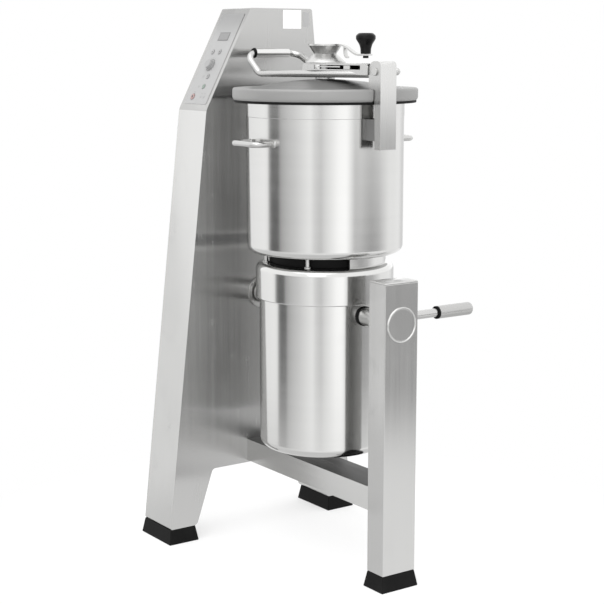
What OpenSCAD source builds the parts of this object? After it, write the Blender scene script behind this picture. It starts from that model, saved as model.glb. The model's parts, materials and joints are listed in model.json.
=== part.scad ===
/* [Stand] */
// Height of the whole machine
machine_h = 1400; // [1330:5:1460]
// Height of the rubber feet
foot_h = 40; // [30:1:50]
// How far a foot spreads past its leg at the floor
foot_flare = 7; // [2:1:12]
// Thickness of the column, across the machine
column_t = 138; // [125:1:160]
// From the bowl's axis to the inner face of the column
column_gap = 289; // [285:1:310]
// From the bowl's axis to the toe of the column's front leg
column_front = 291; // [275:1:310]
// From the bowl's axis to the heel of the column's rear leg
column_back = 303; // [290:1:320]
// Rise of the sloping control face
panel_rise = 260; // [250:1:275]
// Lean of the control face from upright, in degrees
panel_tilt = 27.9; // [24:0.1:31]
// Lean of the column's front edge, in degrees
front_lean = 6.48; // [5.5:0.01:7.2]
// Lean of the column's rear edge, in degrees
rear_lean = 5.75; // [5:0.05:6.5]
// Width of a column leg where it meets its foot
leg_w = 82; // [70:1:95]
// Height of the arch between the column's legs
arch_z = 187; // [150:1:190]
// Thickness of the stainless sheet
sheet = 2; // [1.5:0.1:3]
// Width of the post, across the machine
post_w = 62; // [55:1:75]
// Depth of the post, front to back
post_d = 98; // [92:1:110]
// From the bowl's axis to the inner face of the post
post_gap = 246; // [242:1:265]
// How far the post stands above the tilting axis
post_rise = 103; // [95:1:125]
// Wall of the post and beam tubes
tube_wall = 3; // [2:0.5:5]
// Height of the underside of the beam
beam_z = 193; // [170:1:200]
// Height of the beam's section
beam_h = 59; // [45:1:62]

/* [Tilting unit] */
// Height of the tilting axis
pivot_z = 654; // [648:1:665]
// Radius of the two pivot shafts
pivot_r = 22; // [18:0.5:25]
// Outer radius of the motor casing
motor_r = 164; // [160:1:168]
// Length of the motor casing below the pivot
motor_drop = 354; // [330:1:360]
// Wall of the motor casing
motor_wall = 3; // [2:0.5:4]
// Outer radius of the cap on the motor casing
cap_r = 173; // [171:1:178]
// Height of the cap on the motor casing
cap_h = 89; // [80:1:95]
// From the pivot up to the lower edge of the cap
cap_rise = 29; // [27:1:35]
// Length of the tilting lever from the pivot axis
lever_len = 286; // [260:1:300]
// Radius of the tilting lever's rod
lever_r = 8.5; // [6:0.5:10]

/* [Bowl] */
// Outer radius of the bowl
bowl_r = 191; // [186:1:194]
// Height of the bowl
bowl_h = 380; // [350:1:400]
// Wall of the bowl
bowl_wall = 2; // [1.5:0.1:3]
// Radius of the bowl's bottom corner
bowl_corner = 20; // [14:1:26]
// Gap between the motor cap and the bowl
bowl_gap = 25; // [20:1:30]
// Height of the carrying handles above the bowl's bottom
handle_rise = 275; // [240:1:300]
// Overall width of a carrying handle
handle_w = 116; // [100:1:130]
// Reach of a carrying handle from the bowl's wall
handle_reach = 49; // [42:1:56]
// Radius of the handle rod
handle_r = 6; // [4.5:0.5:7]

/* [Knife] */
// Clearance between the blades' tips and the bowl
blade_gap = 13; // [11:1:26]
// Thickness of a blade
blade_t = 3; // [2:0.5:4]
// Height of the knife hub
knife_h = 170; // [160:1:190]
// Outer radius of the knife hub
knife_r = 36; // [34:1:38]

/* [Lid] */
// How far the lid's rim stands out past the bowl
rim_out = 40; // [38:1:43]
// Height of the lid's rim
rim_h = 29; // [26:1:31]
// From the bowl's outer radius in to the foot of the lid's dome
dome_in = 4; // [3:1:7]
// Rise of the dome above the rim
dome_rise = 22; // [18:1:23]
// From the bowl's wall out to the lid's hinge pin
hinge_out = 39; // [37:1:41]
// From the top of the rim up to the hinge pin
hinge_rise = 43; // [41:1:47]
// Radius of the hinge pin
hinge_pin_r = 6; // [4:0.5:7]
// Radius of the lid's handle rod
arm_r = 7; // [6:0.5:7.5]
// From the bowl's axis to the cross bar of the lid's handle
grip_x = 235; // [225:1:240]
// Length of the turning sleeve on the cross bar
grip_len = 104; // [85:1:106]
// Height of the bridge over the lid, above the rim
bridge_rise = 61; // [59:1:64]
// Reach of the crank from the hub to its knob
crank_reach = 108; // [95:1:120]
// Height of the crank's knob
knob_h = 50; // [40:1:60]

/* [Hidden] */
$fn = 72;

steel = [0.80, 0.80, 0.79];
dark_steel = [0.55, 0.55, 0.54];
grey = [0.58, 0.58, 0.57];
black = [0.06, 0.06, 0.06];

run_gap = 0.05;
gap = 0.3;
small = 1;

foot_size_y = leg_w - 6;
post_h = pivot_z + post_rise;
axis_x = (column_gap + column_t - post_gap - post_w) / 2;
axis_y = (column_front - column_back) / 2;

kink_z = machine_h - panel_rise;
kink_y = -column_front + tan(front_lean) * (kink_z - foot_h);
top_front_y = kink_y + tan(panel_tilt) * panel_rise;
top_back_y = column_back - tan(rear_lean) * (machine_h - foot_h);
leg_lean = 19;
leg_run = tan(leg_lean) * (arch_z - foot_h);
column_in = -column_gap;
column_out = -column_gap - column_t;
column_mid = (column_in + column_out) / 2;
panel_len = panel_rise / cos(panel_tilt);

// Column outline seen from the side, counterclockwise from the front toe
column_outline = [
    [-column_front, foot_h],
    [-column_front + leg_w, foot_h],
    [-column_front + leg_w + leg_run, arch_z],
    [column_back - leg_w - leg_run, arch_z],
    [column_back - leg_w, foot_h],
    [column_back, foot_h],
    [top_back_y, machine_h],
    [top_front_y, machine_h],
    [kink_y, kink_z]];
column_radii = [5, 14, 12, 12, 14, 5, 6, 6, 40];
reflex = [0, 0, 1, 1, 0, 0, 0, 0, 0];

motor_z = pivot_z - motor_drop;
cap_z = pivot_z + cap_rise;
cap_top = cap_z + cap_h;
cap_corner = 18;
bowl_z = cap_top + bowl_gap;
bowl_top = bowl_z + bowl_h;
rim_top = bowl_top + 23;
rim_bottom = rim_top - rim_h;
rim_r = bowl_r + rim_out;
dome_r = bowl_r - dome_in;
hinge_x = bowl_r + hinge_out;
hinge_z = rim_top + hinge_rise;
bridge_z = rim_top + bridge_rise;
arm_z = hinge_z - 7;
bracket_half = 23.5;
bracket_wall = 3;

function unit(v) = v / norm(v);
function flip(v) = [v[0], -v[1], v[2]];

// Points of the arc that rounds corner b, between sides to a and c
function corner(a, b, c, r, n = 6) =
    let (u = unit(a - b), v = unit(c - b), half = acos(u * v) / 2,
        centre = b + unit(u + v) * r / sin(half),
        from = b + u * r / tan(half) - centre,
        to = b + v * r / tan(half) - centre,
        start = atan2(from[1], from[0]),
        turn = (atan2(to[1], to[0]) - start + 540) % 360 - 180)
    [for (i = [0:n]) centre + r * [cos(start + turn * i / n), sin(start + turn * i / n)]];

// A closed outline with each corner rounded to its own radius
function rounded(pts, radii) =
    let (n = len(pts))
    [for (i = [0:n - 1]) each corner(pts[(i + n - 1) % n], pts[i], pts[(i + 1) % n], radii[i])];

// A counterclockwise outline moved inwards by d
function left_of(v) = [-v[1], v[0]] / norm(v);
function inset(pts, d) =
    let (n = len(pts))
    [for (i = [0:n - 1])
        let (a = left_of(pts[i] - pts[(i + n - 1) % n]), b = left_of(pts[(i + 1) % n] - pts[i]))
        pts[i] + d * (a + b) / (1 + a * b)];

module at_axis() {
    translate([axis_x, axis_y, 0]) children();
}

// Extrudes an outline drawn in depth and height across the machine, from x by t
module across(x, t) {
    translate([x, 0, 0]) rotate([90, 0, 90]) linear_extrude(t) children();
}

// Extrudes an outline drawn in width and height towards the back, from y by t
module backwards(y, t) {
    translate([0, y + t, 0]) rotate([90, 0, 0]) linear_extrude(t) children();
}

module x_rod(x, y, z, r, len) {
    translate([x, y, z]) rotate([0, 90, 0]) cylinder(r = r, h = len);
}

module y_rod(x, y, z, r, len) {
    translate([x, y, z]) rotate([-90, 0, 0]) cylinder(r = r, h = len);
}

// Places children so that their Z axis runs along d from point p, with X along e
module frame_at(p, e, f, d) {
    multmatrix([[e[0], f[0], d[0], p[0]], [e[1], f[1], d[1], p[1]], [e[2], f[2], d[2], p[2]], [0, 0, 0, 1]])
        children();
}

module straight_rod(a, b, r) {
    d = unit(b - a);
    e = unit(cross(d, abs(d[2]) > 0.9 ? [1, 0, 0] : [0, 0, 1]));
    frame_at(a, e, cross(d, e), d) cylinder(r = r, h = norm(b - a));
}

// A round rod along points, its corners bent to one radius, with a faint bead at each end of a bend
module bent_rod(pts, r, bend) {
    last = len(pts) - 1;
    cuts = [for (i = [0:last])
        i == 0 || i == last ? 0 :
            bend / tan(acos(unit(pts[i - 1] - pts[i]) * unit(pts[i + 1] - pts[i])) / 2)];
    for (i = [0:last - 1]) {
        d = unit(pts[i + 1] - pts[i]);
        straight_rod(pts[i] + d * cuts[i], pts[i + 1] - d * cuts[i + 1], r);
    }
    for (i = [1:last - 1]) {
        u = unit(pts[i - 1] - pts[i]);
        v = unit(pts[i + 1] - pts[i]);
        half = acos(u * v) / 2;
        centre = pts[i] + unit(u + v) * bend / sin(half);
        e = unit(pts[i] + u * cuts[i] - centre);
        frame_at(centre, e, -u, cross(e, -u))
            rotate_extrude(angle = 180 - 2 * half) translate([bend, 0]) circle(r = r);
        straight_rod(pts[i] + u * (cuts[i] - 1), pts[i] + u * (cuts[i] + 1), r + 0.1);
        straight_rod(pts[i] + v * (cuts[i] - 1), pts[i] + v * (cuts[i] + 1), r + 0.1);
    }
}

// Half section of a can that stands on z = 0, with rounded bottom corner
module can_section(r, h, c) {
    square([r - c, h]);
    translate([0, c]) square([r, h - c]);
    translate([r - c, c]) circle(r = c);
}

module ring(r_out, r_in, h) {
    difference() {
        cylinder(r = r_out, h = h);
        translate([0, 0, -small]) cylinder(r = r_in, h = h + 2 * small);
    }
}

// Places children on the sloping control face, x across, s up the slope, Z outwards
module on_panel(x, s) {
    translate([column_mid, kink_y, kink_z]) rotate([90 - panel_tilt, 0, 0]) translate([x, s, 0]) children();
}

plate_t = 1;
film_gap = 0.02;
plate_w = column_t - 30;
plate_margin = 16;
key_r = 6;
key_out = 1.8;
key_travel = 1.5;
stop_r = 8;
knob_r = 15;
knob_out = 11;
spindle_r = 4;
minus_at = [-20, 166];
plus_at = [14, 166];
knob_at = [-4, 128];
pulse_at = [8, 95];
start_at = [8, 66];
stop_at = [-24, 36];
lens_at = [[14, 36], [30, 36]];
lens_r = 3.5;
display_at = [2, 211];
display_size = [62, 30];

module column_body(x, t, d, grow) {
    across(x, t)
        polygon(rounded(inset(column_outline, d),
            [for (i = [0:8]) column_radii[i] + (reflex[i] ? grow : -grow)]));
}

module panel_holes(depth) {
    for (at = [minus_at, plus_at, pulse_at, start_at])
        on_panel(at[0], at[1]) translate([0, 0, -depth]) cylinder(r = key_r + gap, h = 2 * depth);
    on_panel(stop_at[0], stop_at[1]) translate([0, 0, -depth]) cylinder(r = stop_r + gap, h = 2 * depth);
    on_panel(knob_at[0], knob_at[1]) translate([0, 0, -depth]) cylinder(r = spindle_r + run_gap, h = 2 * depth);
    for (at = lens_at)
        on_panel(at[0], at[1]) translate([0, 0, -depth]) cylinder(r = lens_r + run_gap, h = 2 * depth);
    on_panel(display_at[0], display_at[1])
        translate([-display_size[0] / 2 + 3, -display_size[1] / 2 + 3, -depth])
            cube([display_size[0] - 6, display_size[1] - 6, 2 * depth]);
}

bearing_r = pivot_r + 12;
gland_z = 300;
gland_r = 12;
gland_hole_r = 6.5;
vent_count = 7;
vent_pitch = 14;
vent_z = 420;
vent_w = 80;
vent_h = 5;

function back_y(z) = column_back - tan(rear_lean) * (z - foot_h);

// Places children on the column's rear face, with Z outwards
module on_back(z) {
    translate([column_mid, back_y(z), z]) rotate([rear_lean - 90, 0, 0]) children();
}

module vents() {
    for (i = [0:vent_count - 1])
        on_back(vent_z + i * vent_pitch) translate([-vent_w / 2, -vent_h / 2, -8]) cube([vent_w, vent_h, 16]);
}

module column_shell() {
    at_axis() color(steel)
        difference() {
            column_body(column_out + sheet, column_t - sheet, 0, 0);
            column_body(column_out, column_t - sheet, sheet, min(sheet, 4));
            panel_holes(6);
            x_rod(column_in - 4, 0, pivot_z, bearing_r + gap, 8);
            on_back(gland_z) translate([0, 0, -10]) cylinder(r = gland_r + run_gap, h = 20);
            vents();
        }
}

module column_side_cover() {
    at_axis() color(steel)
        difference() {
            column_body(column_out, sheet, 0, 0);
            for (p = cover_points)
                x_rod(column_out - small, p[0], p[1], 2.55, sheet + 2 * small);
        }
}

cover_inset = 14;
cover_points = [
    for (p = inset(column_outline, cover_inset)) p,
    [(inset(column_outline, cover_inset)[8][0] + inset(column_outline, cover_inset)[0][0]) / 2,
        (inset(column_outline, cover_inset)[8][1] + inset(column_outline, cover_inset)[0][1]) / 2],
    [(inset(column_outline, cover_inset)[5][0] + inset(column_outline, cover_inset)[6][0]) / 2,
        (inset(column_outline, cover_inset)[5][1] + inset(column_outline, cover_inset)[6][1]) / 2]];

// Button-head screws with the square clips that they pull the cover against
module cover_screws() {
    at_axis() color(dark_steel)
        for (p = cover_points) {
            x_rod(column_out - 2.5, p[0], p[1], 4.5, 2.5);
            x_rod(column_out - small, p[0], p[1], 2.5, sheet + small);
            translate([column_out + sheet, p[0] - 7, p[1] - 7]) cube([4, 14, 14]);
        }
}

module control_plate() {
    w = plate_w / 2;
    h = panel_len - 2 * plate_margin;
    at_axis() color(dark_steel)
        difference() {
            on_panel(0, plate_margin)
                translate([0, 0, film_gap]) linear_extrude(plate_t - film_gap)
                    polygon(rounded([[-w, 0], [w, 0], [w, h], [-w, h]], [5, 5, 5, 5]));
            panel_holes(6);
        }
}

module display_window() {
    at_axis() color([0.15, 0.16, 0.16])
        on_panel(display_at[0], display_at[1]) {
            translate([-display_size[0] / 2, -display_size[1] / 2, plate_t])
                cube([display_size[0], display_size[1], 0.8]);
            translate([-display_size[0] / 2 + 3.3, -display_size[1] / 2 + 3.3, -sheet - 1])
                cube([display_size[0] - 6.6, display_size[1] - 6.6, sheet + 1 + plate_t]);
        }
}

module key(at, r, tone) {
    at_axis() color(tone)
        on_panel(at[0], at[1])
            rotate_extrude()
                polygon([[0, -sheet - 2], [r, -sheet - 2], [r, plate_t + key_out - 0.6],
                    [r - 0.6, plate_t + key_out], [0, plate_t + key_out]]);
}

module minus_key() { key(minus_at, key_r, dark_steel); }
module plus_key() { key(plus_at, key_r, dark_steel); }
module pulse_key() { key(pulse_at, key_r, dark_steel); }
module start_key() { key(start_at, key_r, [0.25, 0.45, 0.3]); }
module stop_key() { key(stop_at, stop_r, [0.6, 0.2, 0.18]); }

module speed_knob() {
    at_axis() color([0.3, 0.3, 0.3])
        on_panel(knob_at[0], knob_at[1])
            difference() {
                union() {
                    translate([0, 0, plate_t + gap]) cylinder(r = knob_r, h = 2.2);
                    translate([0, 0, plate_t + 2.2]) cylinder(r1 = knob_r - 2, r2 = knob_r - 3.5, h = knob_out - 2.2);
                    translate([0, 0, -sheet - 4]) cylinder(r = spindle_r, h = sheet + 6);
                }
                for (a = [0:30:359])
                    rotate(a) translate([knob_r - 1.6, 0, plate_t + 2.6]) cylinder(r = 1.5, h = knob_out, $fn = 16);
            }
}

module signal_lenses() {
    at_axis() color([0.75, 0.75, 0.7])
        for (at = lens_at)
            on_panel(at[0], at[1]) translate([0, 0, -sheet - 1]) {
                cylinder(r = lens_r, h = sheet + 1 + plate_t + 0.6);
                cylinder(r = lens_r + 1.5, h = 1);
            }
}

board_t = 14;
board_depth = sheet + 7;

module control_board() {
    w = plate_w - 16;
    h = panel_len - 2 * plate_margin - 30;
    at_axis() color([0.16, 0.3, 0.2])
        on_panel(0, plate_margin + 12)
            difference() {
                union() {
                    translate([-w / 2, 0, -board_depth - board_t]) cube([w, h, board_t]);
                    for (x = [-w / 2 + 5, w / 2 - 5], s = [5, h - 5])
                        translate([x, s, -board_depth]) cylinder(r = 4, h = board_depth - sheet);
                }
                translate([knob_at[0], knob_at[1] - plate_margin - 12, -board_depth - 5])
                    cylinder(r = spindle_r + 2, h = 10);
            }
}

drive_size = [60, 150, 220];
drive_place = [column_in - sheet, -70, pivot_z + 166];
fin_d = 25;
fin_t = 3;
fin_count = 9;

// Finned drive module on the inside of the column's inner wall
module drive_electronics() {
    fin_pitch = (drive_size[1] - 14) / (fin_count - 1);
    at_axis() color([0.35, 0.36, 0.38])
        translate(drive_place) {
            translate([-drive_size[0], 0, 0]) cube(drive_size);
            for (i = [0:fin_count - 1])
                translate([-drive_size[0] - fin_d, 5.5 + i * fin_pitch, 10])
                    cube([fin_d + small, fin_t, drive_size[2] - 20]);
        }
}

block_len = 44;
bearing_plate_w = 190;
bearing_plate_t = 8;

// Inner plate and block that carry the pivot inside the column
module bearing_plate() {
    at_axis() color(dark_steel)
        difference() {
            union() {
                translate([column_in - sheet - bearing_plate_t, -bearing_plate_w / 2, pivot_z - bearing_plate_w / 2])
                    cube([bearing_plate_t, bearing_plate_w, bearing_plate_w]);
                x_rod(column_in - sheet - block_len, 0, pivot_z, bearing_r + 14, block_len - small);
            }
            x_rod(column_in - sheet - block_len - small, 0, pivot_z, bearing_r + run_gap, block_len + 2 * small);
        }
}

flange_r = bearing_r + 20;
flange_t = 8;

module column_bearing() {
    at_axis() {
        color([0.66, 0.55, 0.3])
            difference() {
                x_rod(column_in - sheet - block_len, 0, pivot_z, bearing_r, block_len + sheet + flange_t / 2);
                x_rod(column_in - sheet - block_len - small, 0, pivot_z, pivot_r + run_gap, block_len + 20);
            }
        color(steel)
            difference() {
                x_rod(column_in, 0, pivot_z, flange_r, flange_t);
                x_rod(column_in - small, 0, pivot_z, pivot_r + run_gap, flange_t + 2 * small);
            }
        color(dark_steel)
            for (a = [45:90:359])
                x_rod(column_in + flange_t - small, cos(a) * (flange_r - 9), pivot_z + sin(a) * (flange_r - 9),
                    5, 4 + small);
    }
}

label_y = 73;
label_top = 4;

module label_large() {
    at_axis() color([0.93, 0.93, 0.92])
        translate([column_in, label_y, machine_h - label_top - 48]) cube([0.4, 58, 48]);
}

module label_small() {
    at_axis() color(grey)
        translate([column_in, label_y + 64, machine_h - label_top - 43]) cube([0.4, 20, 38]);
}

// Cable gland in the column's rear face, square to that face
module cable_gland() {
    at_axis() color([0.25, 0.25, 0.25])
        on_back(gland_z) rotate_extrude()
            difference() {
                union() {
                    translate([0, -14]) square([gland_r, 30]);
                    square([gland_r + 6, 7]);
                    translate([0, 7]) square([gland_r + 2, 13]);
                    translate([0, -sheet - 6]) square([gland_r + 5, 6]);
                }
                translate([0, -20]) square([gland_hole_r, 50]);
            }
}

// A block w by d on top that spreads by s on every side over its height h
module spread_block(w, d, h, s) {
    intersection() {
        backwards(-d, 2 * d)
            polygon([[-w / 2 - s, 0], [w / 2 + s, 0], [w / 2, h], [-w / 2, h]]);
        across(-w, 2 * w)
            polygon([[-d / 2 - s, 0], [d / 2 + s, 0], [d / 2, h], [-d / 2, h]]);
    }
}

module foot(w, d) {
    spread_block(w, d, foot_h, foot_flare);
}

module front_foot() {
    at_axis() color(black)
        translate([column_mid, -column_front + foot_size_y / 2, 0]) foot(column_t, foot_size_y);
}

module rear_foot() {
    at_axis() color(black)
        translate([column_mid, column_back - foot_size_y / 2, 0]) foot(column_t, foot_size_y);
}

module post_foot() {
    at_axis() color(black)
        translate([post_gap + post_w / 2, 0, 0]) foot(post_w, post_d);
}

beam_d = post_d - 2;

module base_beam() {
    at_axis() color(steel)
        difference() {
            translate([column_in, -beam_d / 2, beam_z]) cube([column_gap + post_gap, beam_d, beam_h]);
            translate([column_in - small, -beam_d / 2 + tube_wall, beam_z + tube_wall])
                cube([column_gap + post_gap + 2 * small, beam_d - 2 * tube_wall, beam_h - 2 * tube_wall]);
            for (x = beam_bolt_x)
                translate([x, 0, beam_z - small]) cylinder(r = 6 + run_gap, h = tube_wall + 2 * small);
        }
}

beam_bolt_x = [-117, 20];

module beam_bolts() {
    at_axis() color(dark_steel)
        for (x = beam_bolt_x)
            translate([x, 0, beam_z]) {
                translate([0, 0, -2]) cylinder(r = 13, h = 2);
                translate([0, 0, -12]) cylinder(r = 10.5, h = 10, $fn = 6);
                translate([0, 0, -20]) cylinder(r = 6, h = 24 + tube_wall);
                translate([0, 0, tube_wall]) cylinder(r = 10.5, h = 8, $fn = 6);
            }
}

cap_plate = 4;
bush_r = pivot_r + 6;

module support_post() {
    at_axis() color(steel)
        difference() {
            translate([post_gap, -post_d / 2, foot_h]) cube([post_w, post_d, post_h - foot_h - cap_plate]);
            translate([post_gap + tube_wall, -post_d / 2 + tube_wall, foot_h - small])
                cube([post_w - 2 * tube_wall, post_d - 2 * tube_wall, post_h]);
            x_rod(post_gap - small, 0, pivot_z, bush_r + run_gap, post_w + 2 * small);
        }
}

module post_cap() {
    c = 2;
    at_axis() color(steel)
        translate([post_gap, -post_d / 2, post_h - cap_plate]) {
            cube([post_w, post_d, cap_plate - c]);
            translate([c, c, 0]) cube([post_w - 2 * c, post_d - 2 * c, cap_plate]);
            translate([post_w / 2, post_d / 2, cap_plate - c])
                spread_block(post_w - 2 * c, post_d - 2 * c, c, c);
        }
}

module post_bush() {
    at_axis() color([0.66, 0.55, 0.3])
        difference() {
            x_rod(post_gap, 0, pivot_z, bush_r, post_w);
            x_rod(post_gap - small, 0, pivot_z, pivot_r + run_gap, post_w + 2 * small);
        }
}

cover_r = 44;
cover_t = 3.5;

module pivot_cover() {
    at_axis() color(steel)
        translate([post_gap + post_w, 0, pivot_z]) rotate([0, 90, 0])
            rotate_extrude()
                polygon([[0, 0], [cover_r, 0], [cover_r, 1.2], [cover_r - 2.5, cover_t], [0, cover_t]]);
}

module motor_casing() {
    h = cap_top - motor_z - 30;
    at_axis() color(steel)
        difference() {
            translate([0, 0, motor_z])
                rotate_extrude($fn = 128)
                    difference() {
                        can_section(motor_r, h, 22);
                        translate([0, motor_wall]) can_section(motor_r - motor_wall, h, 22 - motor_wall);
                    }
            x_rod(-motor_r - 10, 0, pivot_z, pivot_r + gap, 2 * motor_r + 20);
        }
}

neck_r = 46;

module motor_cap() {
    at_axis() color(steel)
        translate([0, 0, cap_z])
            rotate_extrude($fn = 128)
                difference() {
                    translate([0, cap_h]) mirror([0, 1]) can_section(cap_r, cap_h, cap_corner);
                    translate([0, -small]) square([motor_r + gap, 14 + small]);
                    translate([0, 14 - small])
                        square([cap_r - 3 - cap_corner, cap_h - 14 - 3 + small]);
                    translate([0, 14 - small]) square([cap_r - 3, cap_h - 14 - cap_corner + small]);
                    translate([cap_r - cap_corner, cap_h - cap_corner]) circle(r = cap_corner - 3);
                    translate([0, cap_h - 10]) square([neck_r + gap, 20]);
                }
}

yoke_t = 18;
yoke_h = 60;

module pivot_yoke() {
    at_axis() color(dark_steel)
        difference() {
            translate([0, 0, pivot_z - yoke_h / 2]) ring(motor_r - motor_wall - gap, motor_r - motor_wall - yoke_t, yoke_h);
            x_rod(-motor_r, 0, pivot_z, pivot_r + run_gap, 2 * motor_r);
        }
}

lever_x = post_gap - 18;
hub_r = pivot_r + 7;
hub_half = 14;
seal_t = 5;

module post_trunnion() {
    start = motor_r - motor_wall - yoke_t;
    at_axis() color(dark_steel)
        difference() {
            union() {
                x_rod(start, 0, pivot_z, pivot_r, post_gap + post_w - 2 - start);
                x_rod(lever_x - hub_half, 0, pivot_z, hub_r, 2 * hub_half);
            }
            y_rod(lever_x, pivot_r - 10, pivot_z, lever_r + run_gap, 40);
        }
}

module column_trunnion() {
    start = motor_r - motor_wall - yoke_t;
    at_axis() color(dark_steel) {
        x_rod(column_in - sheet - block_len + 2, 0, pivot_z, pivot_r, column_gap + sheet + block_len - 2 - start);
        x_rod(column_in + flange_t + small, 0, pivot_z, hub_r, column_gap - motor_r - flange_t - seal_t - 2 * small);
    }
}

// Rubber rings round the two trunnions, cut to sit on the round casing
module trunnion_seals() {
    at_axis() color(black)
        difference() {
            for (side = [-1, 1])
                x_rod(side > 0 ? motor_r - 6 : -motor_r - seal_t, 0, pivot_z, pivot_r + 5, seal_t + 6);
            x_rod(-motor_r - 20, 0, pivot_z, pivot_r + run_gap, 2 * motor_r + 40);
            translate([0, 0, pivot_z - 60]) cylinder(r = motor_r, h = 120, $fn = 128);
        }
}

grip_l = 108;
collar_t = 5;
grip_r = 17;
lever_start = pivot_r - 9;

module tilt_lever() {
    at_axis() color(steel)
        y_rod(lever_x, lever_start, pivot_z, lever_r, lever_len - lever_start - 12);
}

module lever_grip() {
    at_axis() color(dark_steel)
        translate([lever_x, lever_len - grip_l, pivot_z]) rotate([-90, 0, 0])
            rotate_extrude()
                difference() {
                    union() {
                        square([grip_r, grip_l - 8]);
                        square([grip_r - 8, grip_l]);
                        translate([grip_r - 8, grip_l - 8]) circle(r = 8);
                    }
                    translate([0, -small]) square([lever_r + run_gap, grip_l - 12 + small]);
                }
}

module lever_collar() {
    at_axis() color(black)
        translate([lever_x, lever_len - grip_l - collar_t, pivot_z]) rotate([-90, 0, 0])
            ring(grip_r + 1, lever_r + run_gap, collar_t);
}

frame_r = 140;
frame_wall = 12;
shield_t = 14;
stator_in = 72;
stator_inset = 55;
coil_h = 20;
air_gap = 0.8;
shaft_r = 19;
frame_top = pivot_z - yoke_h / 2;
frame_len = 270;
frame_z = frame_top - frame_len;

// Cast motor body: barrel with cooling ribs, and end shields with bearing seats
module motor_frame() {
    at_axis() color([0.5, 0.52, 0.55])
        translate([0, 0, frame_z])
            difference() {
                union() {
                    cylinder(r = frame_r - 8, h = frame_len);
                    for (a = [0:15:359])
                        rotate(a) translate([frame_r - 12, -2, 20]) cube([12, 4, frame_len - 50]);
                    translate([0, 0, frame_len - shield_t]) cylinder(r = motor_r - motor_wall - gap - 3, h = shield_t);
                }
                translate([0, 0, shield_t]) cylinder(r = frame_r - 8 - frame_wall, h = frame_len - 2 * shield_t);
                translate([0, 0, -small]) cylinder(r = 40 + run_gap, h = frame_len + 2 * small);
            }
}

module stator() {
    r_out = frame_r - 8 - frame_wall - run_gap;
    at_axis() {
        color([0.3, 0.3, 0.32])
            translate([0, 0, frame_z + stator_inset]) ring(r_out, stator_in, frame_len - 2 * stator_inset);
        color([0.7, 0.4, 0.2])
            for (z = [frame_z + stator_inset - coil_h, frame_z + frame_len - stator_inset - small])
                translate([0, 0, z]) ring(r_out - 12, stator_in + 8, coil_h + small);
    }
}

module rotor() {
    at_axis() color([0.45, 0.45, 0.47])
        translate([0, 0, frame_z + stator_inset - 3])
            ring(stator_in - air_gap, shaft_r, frame_len - 2 * stator_inset + 6);
}

shaft_end = bowl_z + bowl_wall + 4 + knife_h - 12;

shaft_tip = 60;

module drive_shaft() {
    at_axis() color(steel) {
        translate([0, 0, frame_z - 8]) cylinder(r = shaft_r, h = shaft_end - shaft_tip - frame_z + 8);
        translate([0, 0, shaft_end - shaft_tip - small]) cylinder(r = shaft_r - 4, h = shaft_tip + small);
    }
}

module shaft_bearings() {
    at_axis() color([0.62, 0.62, 0.64]) {
        for (z = [frame_z, frame_z + frame_len - shield_t])
            translate([0, 0, z]) ring(40, shaft_r + run_gap, shield_t);
        translate([0, 0, cap_top - 12]) ring(neck_r, shaft_r + run_gap, 12 + bowl_gap - 3);
    }
}

seat_r = 139;

module bowl_seat_ring() {
    at_axis() color(black)
        translate([0, 0, cap_top]) ring(seat_r, seat_r - 22, bowl_gap);
}

peg_circle = 150;
peg_angles = [-112, -52, 68, 128, 188];

module bowl_pegs() {
    at_axis() color(steel)
        for (a = peg_angles)
            translate([peg_circle * cos(a), peg_circle * sin(a), cap_top]) {
                cylinder(r = 4.5, h = bowl_gap);
                cylinder(r = 8, h = 4);
            }
}

module bowl_lock_block() {
    at_axis() color(steel)
        translate([142, -28, cap_top])
            difference() {
                cube([22, 56, bowl_gap]);
                translate([14, -small, bowl_gap - 9]) cube([20, 12 + small, 20]);
                translate([14, 44, bowl_gap - 9]) cube([20, 12 + small, 20]);
            }
}

chimney_r = 27;
chimney_h = 135;

// The bowl with its rolled top edge and the tube that the drive shaft passes through
module bowl_shell() {
    at_axis() color(steel)
        translate([0, 0, bowl_z])
            rotate_extrude($fn = 128)
                difference() {
                    union() {
                        difference() {
                            can_section(bowl_r, bowl_h, bowl_corner);
                            translate([0, bowl_wall])
                                can_section(bowl_r - bowl_wall, bowl_h, bowl_corner - bowl_wall);
                        }
                        translate([bowl_r, bowl_h - 45]) square([0.8, 41]);
                        translate([bowl_r - 0.5, bowl_h - 2]) circle(r = 2, $fn = 32);
                        square([chimney_r, chimney_h]);
                    }
                    translate([0, -small]) square([chimney_r - 3, chimney_h + 2 * small]);
                }
}

// One carrying handle with its two round feet on the bowl's wall
module bowl_handle(side) {
    half = handle_w / 2 - handle_r;
    wall_y = sqrt(pow(bowl_r, 2) - pow(half, 2));
    out_y = bowl_r + handle_reach - handle_r;
    z = bowl_z + handle_rise;
    color(steel)
        difference() {
            union() {
                bent_rod([for (p = [[-half, wall_y - 4, z], [-half, out_y, z], [half, out_y, z], [half, wall_y - 4, z]])
                    [p[0], side * p[1], p[2]]], handle_r, 18);
                for (x = [-half, half])
                    translate([x, side * (wall_y + 0.5), z]) rotate([90, 0, 0])
                        cylinder(r = handle_r + 5, h = 9, center = true);
            }
            translate([0, 0, z - 30]) cylinder(r = bowl_r, h = 60, $fn = 128);
        }
}

module bowl_handles() {
    at_axis() {
        bowl_handle(-1);
        bowl_handle(1);
    }
}

bracket_x = hinge_x + 20;
bracket_in = hinge_x - 25;
bracket_foot = bowl_z + 265;
bracket_arm = 22;

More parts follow.
